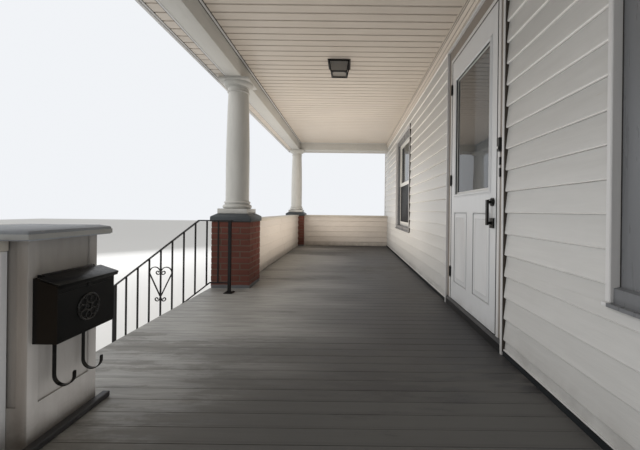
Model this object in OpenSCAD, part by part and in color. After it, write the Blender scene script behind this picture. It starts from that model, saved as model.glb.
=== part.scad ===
// Front porch of a frame house: brick piers, turned columns, low walls,
// painted board floor, boxed eaves and a hipped roof against the house wall.
// X runs along the house and is 0 at the middle column, Y is 0 on the column
// line and points to the house, Z is 0 at the ground under the piers.

/* [Plan] */
// Spacing of the columns along the front
bay = 3847; // [2600:1:5000]
// Distance from the face of the house wall to the column line
porch_d = 2032; // [1700:1:2800]
// Thickness of the house wall with its siding
wall_t = 190; // [150:1:260]

/* [Heights] */
// Top of the floor boards above the ground
deck_h = 760; // [600:1:1000]
// Height from floor to ceiling
ceiling_h = 2275; // [2200:1:2700]
// Depth of the beam below the ceiling
beam_drop = 160; // [100:1:240]
// Rise of the roof for each unit of run
roof_pitch = 0.25; // [0.15:0.01:0.45]

/* [Floor] */
// Thickness of the floor boards
board_t = 25; // [20:1:40]
// Projection of the floor past the outer face of the piers
deck_lip = 7; // [4:1:40]
// Depth of the floor joists
joist_h = 184; // [140:1:235]
// Width of a floor joist
joist_w = 38; // [30:1:60]
// Number of joists under the floor
joist_n = 5; // [3:1:7]
// Thickness of the foundation walls
footing_t = 200; // [150:1:260]

/* [Piers] */
// Width of a square brick pier
pier_w = 380; // [340:1:440]
// Height of the brickwork above the floor
brick_h = 658; // [500:1:850]
// Height of the straight edge of a pier cap
cap_edge_h = 50; // [30:1:80]
// Height of the sloping top of a pier cap
cap_wash_h = 30; // [10:1:60]
// Overhang of a pier cap past the brickwork
cap_out = 12; // [5:1:40]
// Width of the clad newel pier beside the stairs
clad_w = 280; // [240:1:340]
// Depth of the clad newel pier
clad_d = 304; // [220:1:360]
// Height of the clad newel pier under its cap
clad_h = 674; // [560:1:850]
// Overhang of the cap on the clad newel pier
clad_cap_out = 34; // [15:1:60]
// Edge height of the cap on the clad newel pier
clad_cap_edge = 30; // [20:1:60]
// Height of the base board of the clad newel pier
clad_base_h = 140; // [90:1:220]
// Thickness of the corner boards of the clad newel pier
clad_trim_t = 6; // [4:1:12]
// Width of the corner boards of the clad newel pier
clad_trim_w = 38; // [25:1:60]

/* [Columns] */
// Side of the square plinth and of the abacus
plinth_w = 300; // [270:1:340]
// Height of the plinth
plinth_h = 50; // [35:1:80]
// Diameter of the shaft at its foot
shaft_d = 235; // [200:1:250]
// Diameter of the shaft at its neck
neck_d = 204; // [160:1:220]
// Height of the round base above the plinth
base_h = 80; // [60:1:110]
// Height of the capital from astragal to beam
capital_h = 130; // [100:1:180]
// Height of the abacus
abacus_h = 27; // [20:1:50]

/* [Low walls] */
// Thickness of a low wall, and of the beam above it
rail_wall_t = 155; // [120:1:200]
// Height of a low wall under its cap
rail_wall_h = 640; // [520:1:820]
// Thickness of a low wall's cap
rail_cap_t = 37; // [20:1:60]
// Overhang of a low wall's cap
rail_cap_out = 12; // [4:1:25]

/* [Roof] */
// Height of the beams
beam_h = 240; // [200:1:320]
// Distance from the column line to the face of the fascia
eave_out = 215; // [160:1:500]
// Thickness of the fascia
fascia_t = 20; // [15:1:30]
// Drop of the fascia below the soffit
fascia_lip = 10; // [5:1:30]
// Thickness of the ceiling and soffit panels
panel_t = 12; // [8:1:20]
// Thickness of the roof boards with their shingles
roof_t = 42; // [30:1:80]
// Projection of the roof's edge past the fascia
roof_lip = 25; // [10:1:40]
// Height of the house wall above the top of the roof
wall_over_roof = 160; // [80:1:400]
// Length of the house wall past the end of the gutter
wall_past = 50; // [20:1:300]
// Depth of the gutter
gutter_h = 95; // [75:1:120]
// Width of the gutter at its open top
gutter_w = 118; // [95:1:150]
// Width of the flat bottom of the gutter
gutter_foot = 78; // [60:1:90]
// Sheet thickness of the gutter
gutter_sheet = 3; // [2:0.5:5]
// Height of the moulding along the top of the house wall
frieze_h = 100; // [60:1:110]
// Projection of that moulding at the ceiling
frieze_out = 58; // [30:1:80]

/* [Door] */
// Distance from the middle column to the hinged edge of the door
door_x = 690; // [420:1:760]
// Width of the door
door_w = 810; // [700:1:1000]
// Gap between the trim over the door and the moulding under the ceiling
door_head_gap = 14; // [5:1:120]
// Thickness of the door
door_t = 45; // [40:1:57]
// Projection of the door's face past the wall face
door_proud = 8; // [5:1:16]
// Running gap around the door
door_gap = 5; // [5:0.5:8]
// Height of the threshold
threshold_h = 65; // [25:1:75]
// Thickness of the door jambs
jamb_t = 32; // [20:1:40]
// Width of the flat casing beside the door
door_casing_w = 90; // [60:1:130]
// Height of the flat casing over the door
door_head_w = 124; // [60:1:150]
// Projection of the flat casing past the wall face
casing_out = 4; // [2:1:5]
// Width of the strip that the door is hung on
strip_w = 36; // [24:1:45]
// Width of the trim that edges the door casing and the windows
trim_w = 20; // [12:1:40]
// Projection of that trim past the wall face
trim_out = 20; // [12:1:30]
// Width of the glazed opening in the door
lite_w = 620; // [400:1:640]
// Height of the top rail of the door above the glazed opening
lite_rail = 176; // [150:1:260]
// Height of the glazed opening above the foot of the door
lite_z = 852; // [760:1:950]
// Width of a lower door panel
panel_w = 272; // [180:1:290]
// Height of a lower door panel
panel_h = 568; // [400:1:640]
// Gap between the two lower door panels
panel_gap = 114; // [90:1:180]
// Height of a lower door panel above the foot of the door
panel_z = 142; // [100:1:200]
// Diameter of a hinge barrel
hinge_d = 14; // [11:0.5:14]
// Length of a hinge barrel
hinge_l = 75; // [60:1:120]
// Distance of the outer hinges from the ends of the door
hinge_set = 218; // [120:1:260]
// Height of the latch above the foot of the door
latch_z = 772; // [740:1:1000]
// Distance of the latch from the edge of the door
backset = 40; // [36:1:75]
// Distance between the two ends of the door grip
grip_l = 125; // [110:1:200]
// Height of the doorbell above the floor
bell_z = 1127; // [900:1:1300]

/* [Windows] */
// Clear width between the window jambs
window_w = 1090; // [700:1:1200]
// Gap between the window trim and the moulding under the ceiling
window_head_gap = 157; // [40:1:300]
// Height of the window opening above the floor
window_z = 545; // [500:1:760]
// Distance of the far window's middle from the middle column
window_far = 1790; // [1500:1:2700]
// Distance of the near window's middle from the middle column
window_near = 2962; // [2700:1:3200]
// Width of the window frame around the sashes
window_frame_w = 75; // [40:1:110]
// Width of a sash rail
sash_w = 48; // [32:1:60]
// Thickness of a sash
sash_t = 32; // [25:1:38]
// Thickness of the glass
glass_t = 6; // [4:1:8]

/* [Stairs] */
// Number of risers from the ground to the floor
riser_n = 4; // [3:1:6]
// Depth of a tread from riser to riser
going = 240; // [220:1:320]
// Projection of a tread past its riser
nosing = 20; // [10:1:30]
// Thickness of a tread
tread_t = 32; // [25:1:45]
// Thickness of a riser board
riser_t = 20; // [15:1:25]
// Thickness of a stringer
stringer_t = 45; // [35:1:60]
// Clear width of the stairs between pier and newel pier
stair_w = 1890; // [1200:1:2600]

/* [Stair railing] */
// Distance from the pier to the railing
rail_x = 174; // [80:1:300]
// Height of the handrail above the floor
rail_h = 678; // [600:1:950]
// Height of the lower rail above the floor
rail_low = 86; // [60:1:140]
// Spacing of the balusters
baluster_step = 107; // [90:1:130]
// Number of gaps between the uprights
baluster_n = 10; // [8:1:12]
// Side of the railing's end posts
post_w = 25; // [20:1:32]
// Side of a baluster
baluster_w = 12; // [10:1:16]
// Width of the handrail
handrail_w = 32; // [25:1:45]
// Thickness of the handrail
handrail_t = 10; // [8:1:14]
// Baluster at the middle of the heart-shaped scroll, counted from the foot
scroll_at = 4; // [3:1:6]
// Height of the top of the scroll above the floor
scroll_top = 232; // [180:1:280]
// Height of the scroll's crossing above the floor
scroll_cross = -47; // [-80:1:0]

/* [Mailbox] */
// Width of the mailbox
mail_w = 250; // [200:1:270]
// Height of the mailbox at its back
mail_h = 212; // [170:1:240]
// Depth of the mailbox
mail_d = 80; // [65:1:100]
// Height of the mailbox above the floor
mail_z = 338; // [300:1:400]
// Sheet thickness of the mailbox
mail_sheet = 2; // [1.5:0.5:4]
// Spacing of the two newspaper hooks
hook_step = 120; // [80:1:160]

/* [Ceiling light] */
// Side of the lantern at the ceiling
lamp_w = 222; // [160:1:300]
// Side of the lantern at its foot
lamp_foot_w = 165; // [120:1:220]
// Thickness of the lantern's bars, plate and foot ring
lamp_bar = 10; // [6:1:14]
// Height of the lantern
lamp_h = 110; // [80:1:160]
// Distance of the lantern from the house wall
lamp_y = 978; // [600:1:1300]
// Distance of the lantern from the middle column, towards the stairs
lamp_x = 90; // [-300:1:400]

/* [Hidden] */
$fn = 48;

// Lines of the plan
row_y = 0;
wall_face = row_y + porch_d;
wall_back = wall_face + wall_t;
rail_in = row_y + rail_wall_t / 2;
rail_out = row_y - rail_wall_t / 2;
pier_in = row_y + pier_w / 2;
pier_out = row_y - pier_w / 2;
deck_out = pier_out - deck_lip;
end_in = bay - rail_wall_t / 2;
end_out = bay + rail_wall_t / 2;
wall_end = bay + eave_out + gutter_w + wall_past;
deck_end = bay + pier_w / 2 + deck_lip;
footing_in = nosing + riser_t;
footing_out_y = deck_out + footing_in;
footing_out_x = deck_end - footing_in;

// Levels
board_z = deck_h - board_t;
joist_z = board_z - joist_h;
beam_z = deck_h + ceiling_h - beam_drop;
ceiling_z = deck_h + ceiling_h;
beam_top = beam_z + beam_h;
pier_top = deck_h + brick_h + cap_edge_h + cap_wash_h;
column_h = beam_z - pier_top;

// Roof: its underside lies on the outer top edge of the beams
fascia_y = row_y - eave_out;
fascia_x = bay + eave_out;
eave_z = beam_top - roof_pitch * (eave_out - rail_wall_t / 2);
roof_run = wall_face - fascia_y;
wall_top = eave_z + roof_pitch * roof_run + roof_t + wall_over_roof;

// Stairs
rise = deck_h / riser_n;
stair_x0 = pier_w / 2;
stair_x1 = stair_x0 + stair_w;
newel_x = stair_x1 + clad_w / 2;
newel_in = row_y + clad_d / 2;
slope = rise / going;
function riser_front(k) = footing_out_y - riser_t - k * going;
function riser_back(k) = riser_front(k) + riser_t;
function tread_top(k) = deck_h - k * rise;

// Door
door_foot = deck_h + threshold_h + door_gap;
door_x1 = door_x + door_w;
jamb_x0 = door_x - door_gap;
jamb_x1 = door_x1 + door_gap;
jamb_top = ceiling_z - frieze_h - door_head_gap - trim_w - door_head_w;
door_h = jamb_top - door_gap - door_foot;
lite_h = door_h - lite_z - lite_rail;
opening_x0 = jamb_x0 - jamb_t;
opening_x1 = jamb_x1 + jamb_t;
opening_top = jamb_top + jamb_t;
door_face = wall_face - door_proud;
case_x0 = jamb_x0 - door_casing_w;
case_x1 = jamb_x1 + door_casing_w;
stop_t = 12;
stop_y = door_face + door_t + door_gap;
hinge_clear = 0.4;
hinge_x = door_x - door_gap / 2;
hinge_y = door_face - hinge_d / 2 - hinge_clear;
hinge_levels = [hinge_set, door_h / 2, door_h - hinge_set];

// Windows
sill_out = 11;
sill_h = 52;
frame_rim = 6;
window_set = 46;
window_z0 = deck_h + window_z;
window_z1 = ceiling_z - frieze_h - window_head_gap - trim_w - window_frame_w;
window_h = window_z1 - window_z0;
window_xs = [-window_far, window_near];

// A block between two corners
module block(low, high)
    translate(low)
        cube(high - low);

// A block that is centred on x and y
module post(x, y, w, d, z0, z1)
    translate([x - w / 2, y - d / 2, z0])
        cube([w, d, z1 - z0]);

// The same solid at both ends of the porch
module both_ends() {
    children();
    mirror([1, 0, 0])
        children();
}

// A flat outline in the Y-Z plane, drawn out along X
module along_x(x0, x1)
    translate([x0, 0, 0])
        rotate([90, 0, 90])
            linear_extrude(x1 - x0)
                children();

// A flat outline in the X-Z plane, drawn out along Y
module along_y(y0, y1)
    translate([0, y1, 0])
        rotate([90, 0, 0])
            linear_extrude(y1 - y0)
                children();

module house_foundation()
    color("darkgray")
        block([-wall_end, wall_face, 0], [wall_end, wall_back, deck_h]);

module foundation_walls()
    color("darkgray") {
        for (span = [[-bay + pier_w / 2, -pier_w / 2], [pier_w / 2, bay - pier_w / 2]])
            block([span[0], footing_out_y, 0], [span[1], footing_out_y + footing_t, joist_z]);
        both_ends()
            block([footing_out_x - footing_t, pier_in, 0], [footing_out_x, wall_face, joist_z]);
    }

module floor_frame() {
    joist_in = pier_in + joist_w;
    step = (wall_face - joist_w - joist_in) / (joist_n - 1);
    color("tan") {
        for (k = [0 : joist_n - 1])
            block([-footing_out_x + joist_w, joist_in + k * step, joist_z],
                  [footing_out_x - joist_w, joist_in + k * step + joist_w, board_z]);
        both_ends()
            block([footing_out_x - joist_w, pier_in, joist_z], [footing_out_x, wall_face, board_z]);
        for (span = [[-bay + pier_w / 2, -pier_w / 2], [pier_w / 2, bay - pier_w / 2]])
            block([span[0], footing_out_y, joist_z],
                  [span[1], footing_out_y + joist_w, board_z]);
    }
}

module floor_boards()
    color("dimgray")
        difference() {
            block([-deck_end, deck_out, board_z], [deck_end, wall_face, deck_h]);
            for (x = [-bay, 0, bay])
                post(x, row_y, pier_w, pier_w, board_z - 1, deck_h + 1);
        }

module brick_pier(x)
    color("sienna")
        post(x, row_y, pier_w, pier_w, 0, deck_h + brick_h);

module brick_pier_far() brick_pier(-bay);
module brick_pier_middle() brick_pier(0);
module brick_pier_near() brick_pier(bay);

// A square cap with a straight edge and four sloping faces
module weathered_cap(x, y, w, d, seat_w, z, edge_h, wash_h) {
    rise_x = (w - seat_w) / 2;
    intersection() {
        along_y(y - d / 2, y + d / 2)
            polygon([[x - w / 2, z], [x + w / 2, z], [x + w / 2, z + edge_h],
                     [x + w / 2 - rise_x, z + edge_h + wash_h],
                     [x - w / 2 + rise_x, z + edge_h + wash_h], [x - w / 2, z + edge_h]]);
        along_x(x - w / 2, x + w / 2)
            polygon([[y - d / 2, z], [y + d / 2, z], [y + d / 2, z + edge_h],
                     [y + d / 2 - rise_x, z + edge_h + wash_h],
                     [y - d / 2 + rise_x, z + edge_h + wash_h], [y - d / 2, z + edge_h]]);
    }
}

module pier_caps() {
    cap_w = pier_w + 2 * cap_out;
    color("darkslategray")
        for (x = [-bay, 0, bay])
            weathered_cap(x, row_y, cap_w, cap_w, plinth_w + 4, deck_h + brick_h,
                          cap_edge_h, cap_wash_h);
}

// The newel pier: a panelled core with corner boards, a base board and a plinth strip
module newel_pier() {
    z1 = deck_h + clad_h;
    core_w = clad_w - 2 * clad_trim_t;
    core_d = clad_d - 2 * clad_trim_t;
    color("gainsboro") {
        post(newel_x, row_y, core_w, core_d, deck_h, z1);
        difference() {
            post(newel_x, row_y, clad_w, clad_d, deck_h, z1);
            post(newel_x, row_y, clad_w - 2 * clad_trim_w, clad_d + 2,
                 deck_h + clad_base_h, z1 + 1);
            post(newel_x, row_y, clad_w + 2, clad_d - 2 * clad_trim_w,
                 deck_h + clad_base_h, z1 + 1);
            post(newel_x, row_y, core_w, core_d, deck_h - 1, z1 + 1);
        }
    }
}

module newel_pier_cap()
    color("slategray")
        weathered_cap(newel_x, row_y, clad_w + 2 * clad_cap_out, clad_d + 2 * clad_cap_out,
                      clad_w + 2 * clad_cap_out - 60, deck_h + clad_h, clad_cap_edge, 8);

// Radius of the shaft at a height from 0 to 1: straight below, then drawn in
function shaft_r(t) =
    let (u = max(0, t - 0.33) / 0.67)
    shaft_d / 2 - (shaft_d - neck_d) / 2 * pow(u, 1.6);

// Points of a quarter or half round, counted by angle
function bulge(r, z, size, from, to, n) =
    [for (k = [0 : n]) let (a = from + (to - from) * k / n)
        [r + size * cos(a), z + size * sin(a)]];

// A turned column: plinth, torus base, tapered shaft, astragal, echinus and abacus
module column(x) {
    torus = base_h * 0.28;
    foot_r = shaft_d / 2 + 14;
    base_top = plinth_h + base_h;
    neck_z = column_h - capital_h;
    neck_r = neck_d / 2;
    bead = 9;
    echinus_z = column_h - abacus_h - 42;
    shaft_top = neck_z - bead;
    color("ivory")
        translate([x, row_y, pier_top]) {
            post(0, 0, plinth_w, plinth_w, 0, plinth_h);
            rotate_extrude($fn = 64)
                polygon(concat(
                    [[0, plinth_h]],
                    [[foot_r, plinth_h]],
                    bulge(plinth_w / 2 - torus - 3, plinth_h + torus, torus, -90, 90, 8),
                    [[foot_r, plinth_h + 2 * torus]],
                    [[foot_r, plinth_h + 2 * torus + 10]],
                    bulge(foot_r, base_top, base_h - 2 * torus - 10, 270, 180, 5),
                    [for (k = [1 : 12]) let (t = k / 12)
                        [shaft_r(t), base_top + t * (shaft_top - base_top)]],
                    bulge(neck_r, neck_z, bead, -80, 80, 6),
                    [[neck_r, neck_z + bead]],
                    [[neck_r, echinus_z - 8], [neck_r + 8, echinus_z - 8], [neck_r + 8, echinus_z]],
                    bulge(neck_r + 8, echinus_z + 36, 36, -80, -5, 6),
                    [[neck_r + 44, column_h - abacus_h], [0, column_h - abacus_h]]));
            post(0, 0, plinth_w + 8, plinth_w + 8, column_h - abacus_h, column_h);
        }
}

module column_far() column(-bay);
module column_middle() column(0);
module column_near() column(bay);

module low_wall_front(x0, x1)
    color("beige")
        block([x0, rail_out, deck_h], [x1, rail_in, deck_h + rail_wall_h]);

module low_wall_front_far() low_wall_front(-bay + pier_w / 2, -pier_w / 2);
module low_wall_front_near() low_wall_front(stair_x1 + clad_w, bay - pier_w / 2);

module low_wall_end()
    color("beige")
        block([end_in, pier_in, deck_h], [end_out, wall_face, deck_h + rail_wall_h]);

module low_wall_end_far() mirror([1, 0, 0]) low_wall_end();
module low_wall_end_near() low_wall_end();

// Caps of the low walls, notched under the overhanging caps of the piers
module low_wall_caps() {
    z0 = deck_h + rail_wall_h;
    z1 = z0 + rail_cap_t;
    cap_w = pier_w + 2 * cap_out;
    color("gainsboro")
        difference() {
            union() {
                for (span = [[-bay + pier_w / 2, -pier_w / 2],
                             [stair_x1 + clad_w, bay - pier_w / 2]])
                    block([span[0], rail_out - rail_cap_out, z0],
                          [span[1], rail_in + rail_cap_out, z1]);
                both_ends()
                    block([end_in - rail_cap_out, pier_in, z0],
                          [end_out + rail_cap_out, wall_face, z1]);
            }
            for (x = [-bay, 0, bay])
                post(x, row_y, cap_w, cap_w, deck_h + brick_h, pier_top);
            post(newel_x, row_y, clad_w + 2 * clad_cap_out, clad_d + 2 * clad_cap_out,
                 deck_h + clad_h, pier_top);
        }
}

module beam_front()
    color("linen")
        block([-end_out, rail_out, beam_z], [end_out, rail_in, beam_top]);

module beam_end()
    color("linen")
        block([end_in, rail_in, beam_z], [end_out, wall_face, beam_top]);

module beam_end_far() mirror([1, 0, 0]) beam_end();
module beam_end_near() beam_end();

module ceiling()
    color("antiquewhite")
        block([-end_in, rail_in, ceiling_z], [end_in, wall_face, ceiling_z + panel_t]);

// A band that runs round the three open sides, between two distances from the column line
module eave_band(near, far, z0, z1)
    difference() {
        block([-bay - far, row_y - far, z0], [bay + far, wall_face, z1]);
        block([-bay - near, row_y - near, z0 - 1], [bay + near, wall_face + 1, z1 + 1]);
    }

module eave_soffit()
    color("antiquewhite")
        eave_band(rail_wall_t / 2, eave_out - fascia_t, beam_z, beam_z + panel_t);

module fascia()
    color("linen")
        eave_band(eave_out - fascia_t, eave_out, beam_z - fascia_lip, eave_z);

// Outline of the gutter, from the fascia outwards
module gutter_outline(out, z)
    translate([out, z])
        difference() {
            polygon([[0, 0], [gutter_foot, 0], [gutter_foot + 4, gutter_h * 0.35],
                     [gutter_w - 12, gutter_h * 0.72], [gutter_w - 8, gutter_h * 0.86],
                     [gutter_w, gutter_h * 0.88], [gutter_w, gutter_h], [0, gutter_h]]);
            polygon([[gutter_sheet, gutter_sheet], [gutter_foot - gutter_sheet, gutter_sheet],
                     [gutter_foot + 4 - gutter_sheet, gutter_h * 0.37],
                     [gutter_w - 12 - gutter_sheet, gutter_h * 0.74],
                     [gutter_w - 12 - gutter_sheet, gutter_h + 1],
                     [gutter_sheet, gutter_h + 1]]);
        }

// One run of gutter, mitred where it turns the corner
module gutter() {
    z = eave_z - gutter_h - 12;
    reach = eave_out + gutter_w;
    color("whitesmoke") {
        intersection() {
            along_x(-bay - reach, bay + reach)
                mirror([1, 0, 0])
                    gutter_outline(-fascia_y, z);
            translate([0, 0, z - 1])
                linear_extrude(gutter_h + 2)
                    polygon([[-bay - reach, row_y - reach], [bay + reach, row_y - reach],
                             [bay, row_y], [-bay, row_y]]);
        }
        both_ends()
            intersection() {
                along_y(row_y - reach, wall_face)
                    gutter_outline(fascia_x, z);
                translate([0, 0, z - 1])
                    linear_extrude(gutter_h + 2)
                        polygon([[bay, row_y], [bay + reach, row_y - reach],
                                 [bay + reach, wall_face], [bay, wall_face]]);
            }
    }
}

// One slope of the roof, from its edge over the gutter up to the house wall
module slope_outline(out)
    polygon([[out + roof_lip, eave_z - roof_pitch * roof_lip],
             [out - roof_run, eave_z + roof_pitch * roof_run],
             [out - roof_run, eave_z + roof_pitch * roof_run + roof_t],
             [out + roof_lip, eave_z - roof_pitch * roof_lip + roof_t]]);

module roof() {
    low = eave_z - roof_pitch * roof_lip - 1;
    tall = roof_pitch * (roof_run + roof_lip) + roof_t + 2;
    edge_x = fascia_x + roof_lip;
    edge_y = fascia_y - roof_lip;
    color("dimgray") {
        intersection() {
            along_x(-edge_x, edge_x)
                mirror([1, 0, 0])
                    slope_outline(-fascia_y);
            translate([0, 0, low])
                linear_extrude(tall)
                    polygon([[-edge_x, edge_y], [edge_x, edge_y],
                             [fascia_x - roof_run, wall_face], [roof_run - fascia_x, wall_face]]);
        }
        both_ends()
            intersection() {
                along_y(edge_y, wall_face)
                    slope_outline(fascia_x);
                translate([0, 0, low])
                    linear_extrude(tall)
                        polygon([[edge_x, edge_y], [edge_x, wall_face],
                                 [fascia_x - roof_run, wall_face]]);
            }
    }
}

// A block over a window from one distance to another into the wall, wider than its clear opening
module window_block(x, wider, y0, y1)
    block([x - window_w / 2 - wider, y0, window_z0 - sill_h],
          [x + window_w / 2 + wider, y1, window_z1 + wider]);

// A stretch of house wall with a window opening cut through it
module house_wall(x0, x1, window_x)
    color("whitesmoke")
        difference() {
            block([x0, wall_face, deck_h], [x1, wall_back, wall_top]);
            window_block(window_x, window_frame_w + frame_rim, wall_face - 1, wall_back + 1);
        }

module wall_far() house_wall(-wall_end, opening_x0, -window_far);
module wall_near() house_wall(opening_x1, wall_end, window_near);

module wall_over_door()
    color("whitesmoke")
        block([opening_x0, wall_face, opening_top], [opening_x1, wall_back, wall_top]);

module frieze_moulding() {
    z0 = ceiling_z - frieze_h;
    w = frieze_out;
    color("linen")
        along_x(-end_in, end_in)
            polygon([[wall_face, z0], [wall_face - 16, z0], [wall_face - 16, z0 + 22],
                     [wall_face - 24, z0 + 30], [wall_face - w * 0.6, z0 + frieze_h * 0.62],
                     [wall_face - w + 6, ceiling_z - 20], [wall_face - w, ceiling_z - 18],
                     [wall_face - w, ceiling_z], [wall_face, ceiling_z]]);
}

// A frame in front of the wall round the door, between two distances from the jambs
module door_band(near, far, rise, foot, out)
    difference() {
        block([jamb_x0 - far, wall_face - out, foot], [jamb_x1 + far, wall_face, jamb_top + far + rise]);
        block([jamb_x0 - near, wall_face - out - 1, foot - 1],
              [jamb_x1 + near, wall_face + 1, jamb_top + near + rise]);
    }

// Jambs with their stops, flat casing, hanging strip and edge trim around the door
module door_frame() {
    sill_top = deck_h + threshold_h;
    head_rise = door_head_w - door_casing_w;
    color("white") {
        difference() {
            block([opening_x0, wall_face, deck_h], [opening_x1, wall_back, opening_top]);
            block([jamb_x0, wall_face - 1, deck_h - 1], [jamb_x1, stop_y, jamb_top]);
            block([jamb_x0 + stop_t, wall_face - 1, deck_h - 1],
                  [jamb_x1 - stop_t, wall_back + 1, jamb_top - stop_t]);
        }
        difference() {
            block([case_x0 - trim_w, wall_face - casing_out, sill_top],
                  [case_x1 + trim_w, wall_face, jamb_top + door_head_w + trim_w]);
            block([jamb_x0, wall_face - casing_out - 1, sill_top - 1], [jamb_x1, wall_face + 1, jamb_top]);
        }
        door_band(0, strip_w, 0, sill_top, door_proud);
        door_band(door_casing_w, door_casing_w + trim_w, head_rise, deck_h, trim_out);
    }
}

module door_threshold() {
    color("dimgray") {
        along_x(case_x0, case_x1)
            polygon([[wall_face - trim_out, deck_h], [wall_face, deck_h], [wall_face, deck_h + threshold_h],
                     [door_face, deck_h + threshold_h],
                     [wall_face - trim_out, deck_h + threshold_h * 0.7]]);
        block([jamb_x0, door_face, deck_h], [jamb_x1, stop_y, deck_h + threshold_h]);
        block([jamb_x0 + stop_t, door_face, deck_h],
              [jamb_x1 - stop_t, wall_back, deck_h + threshold_h]);
    }
}

// A groove around a raised panel, on both faces of the door
module panel_groove(x, z) {
    groove_w = 16;
    groove_d = 6;
    for (y = [door_face - 1, door_face + door_t - groove_d])
        difference() {
            block([x, y, z], [x + panel_w, y + groove_d + 1, z + panel_h]);
            block([x + groove_w, y - 1, z + groove_w],
                  [x + panel_w - groove_w, y + groove_d + 2, z + panel_h - groove_w]);
        }
}

// Lower near corner of the glazed opening, seen from the street
lite_x = door_x + (door_w - lite_w) / 2;
lite_foot = door_foot + lite_z;

module door_leaf() {
    mid = door_x + door_w / 2;
    color("white")
        difference() {
            block([door_x, door_face, door_foot], [door_x1, door_face + door_t, door_foot + door_h]);
            block([lite_x, door_face - 1, lite_foot],
                  [lite_x + lite_w, door_face + door_t + 1, lite_foot + lite_h]);
            for (x = [mid - panel_gap / 2 - panel_w, mid + panel_gap / 2])
                panel_groove(x, door_foot + panel_z);
        }
}

// Frames that hold the glass, one on each face of the door
module door_lite_frame() {
    frame_w = 26;
    frame_t = 9;
    color("white")
        for (y = [door_face - frame_t, door_face + door_t])
            difference() {
                block([lite_x - frame_w, y, lite_foot - frame_w],
                      [lite_x + lite_w + frame_w, y + frame_t, lite_foot + lite_h + frame_w]);
                block([lite_x, y - 1, lite_foot],
                      [lite_x + lite_w, y + frame_t + 1, lite_foot + lite_h]);
            }
}

module door_glass()
    color("lightblue")
        block([lite_x, door_face + 2 * glass_t, lite_foot],
              [lite_x + lite_w, door_face + 5 * glass_t, lite_foot + lite_h]);

// A round part of the door set, from one distance off the door's face to another
module handle_round(z, d, near, far)
    translate([door_x1 - backset, door_face - near, z])
        rotate([90, 0, 0])
            cylinder(d = d, h = far - near);

// Grip outside between a round plate and a foot plate, and a lever inside
module door_handle() {
    x = door_x1 - backset;
    z1 = door_foot + latch_z;
    z0 = z1 - grip_l;
    plate_t = 10;
    foot_w = 48;
    foot_h = 60;
    rod = 18;
    grip_w = 22;
    grip_t = 12;
    grip_out = 28;
    grip_end = 13;
    rose_d = 50;
    lever_l = 100;
    lever_w = 20;
    color("black") {
        handle_round(z1, rose_d, 0, plate_t);
        block([x - foot_w / 2, door_face - plate_t, z0 - foot_h / 2],
              [x + foot_w / 2, door_face, z0 + foot_h / 2]);
        for (z = [z0, z1])
            handle_round(z, rod, plate_t / 2, grip_out + grip_t / 2);
        block([x - grip_w / 2, door_face - grip_out - grip_t, z0 - grip_end],
              [x + grip_w / 2, door_face - grip_out, z1 + grip_end]);
        handle_round(z1, rose_d, -door_t - plate_t, -door_t);
        handle_round(z1, rod, -door_t - grip_out, -door_t - plate_t / 2);
        block([x - lever_l, door_face + door_t + grip_out - grip_t / 2, z1 - lever_w / 2],
              [x + plate_t, door_face + door_t + grip_out + grip_t / 2, z1 + lever_w / 2]);
    }
}

// Hinge barrels on the street side, each with the leaf that holds the door
module door_hinges()
    color("black")
        for (level = hinge_levels)
            translate([0, 0, door_foot + level - hinge_l / 2]) {
                translate([hinge_x, hinge_y, 0])
                    cylinder(d = hinge_d, h = hinge_l);
                translate([hinge_x, hinge_y, -5])
                    cylinder(d = hinge_d * 0.6, h = hinge_l + 10);
                block([hinge_x, hinge_y, 0], [hinge_x + 3, door_face, hinge_l]);
                block([hinge_x, door_face - 3, 0], [door_x + 8, door_face, hinge_l]);
            }

// Edge trim, frame, sill and ledge around one window
module window_casing(x) {
    frame_set = 10;
    sill_fall = 5;
    ledge_out = 35;
    ledge_t = 12;
    half = window_w / 2 + window_frame_w;
    sill_foot = window_z0 - sill_h;
    difference() {
        window_block(x, window_frame_w + trim_w, wall_face - trim_out, wall_face);
        window_block(x, window_frame_w, wall_face - trim_out - 1, wall_face + 1);
    }
    difference() {
        window_block(x, window_frame_w + frame_rim, wall_face, wall_back);
        window_block(x, window_frame_w, wall_face - 1, wall_face + frame_set);
        window_block(x, 0, wall_face - 1, wall_back + 1);
    }
    along_x(x - half, x + half)
        polygon([[wall_face - sill_out, sill_foot], [wall_back, sill_foot], [wall_back, window_z0],
                 [wall_face + frame_set, window_z0], [wall_face - sill_out, window_z0 - sill_fall]]);
    block([x - half - trim_w, wall_face - ledge_out, sill_foot - ledge_t],
          [x + half + trim_w, wall_face, sill_foot]);
}

module window_casings()
    color("linen")
        for (x = window_xs)
            window_casing(x);

// Inside corner of each sash of a window: [y, z0, z1], the upper sash outside
mid_z = window_z0 + window_h / 2;
function sashes() = [[wall_face + window_set, mid_z - sash_w / 2, window_z1],
                     [wall_face + window_set + sash_t + 1, window_z0, mid_z + sash_w / 2]];

module window_sashes()
    color("white")
        for (x = window_xs, s = sashes())
            difference() {
                block([x - window_w / 2, s[0], s[1]], [x + window_w / 2, s[0] + sash_t, s[2]]);
                block([x - window_w / 2 + sash_w, s[0] - 1, s[1] + sash_w],
                      [x + window_w / 2 - sash_w, s[0] + sash_t + 1, s[2] - sash_w]);
            }

module window_panes()
    color("lightblue")
        for (x = window_xs, s = sashes())
            block([x - window_w / 2 + sash_w, s[0] + sash_t / 2 - glass_t / 2, s[1] + sash_w],
                  [x + window_w / 2 - sash_w, s[0] + sash_t / 2 + glass_t / 2, s[2] - sash_w]);

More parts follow.
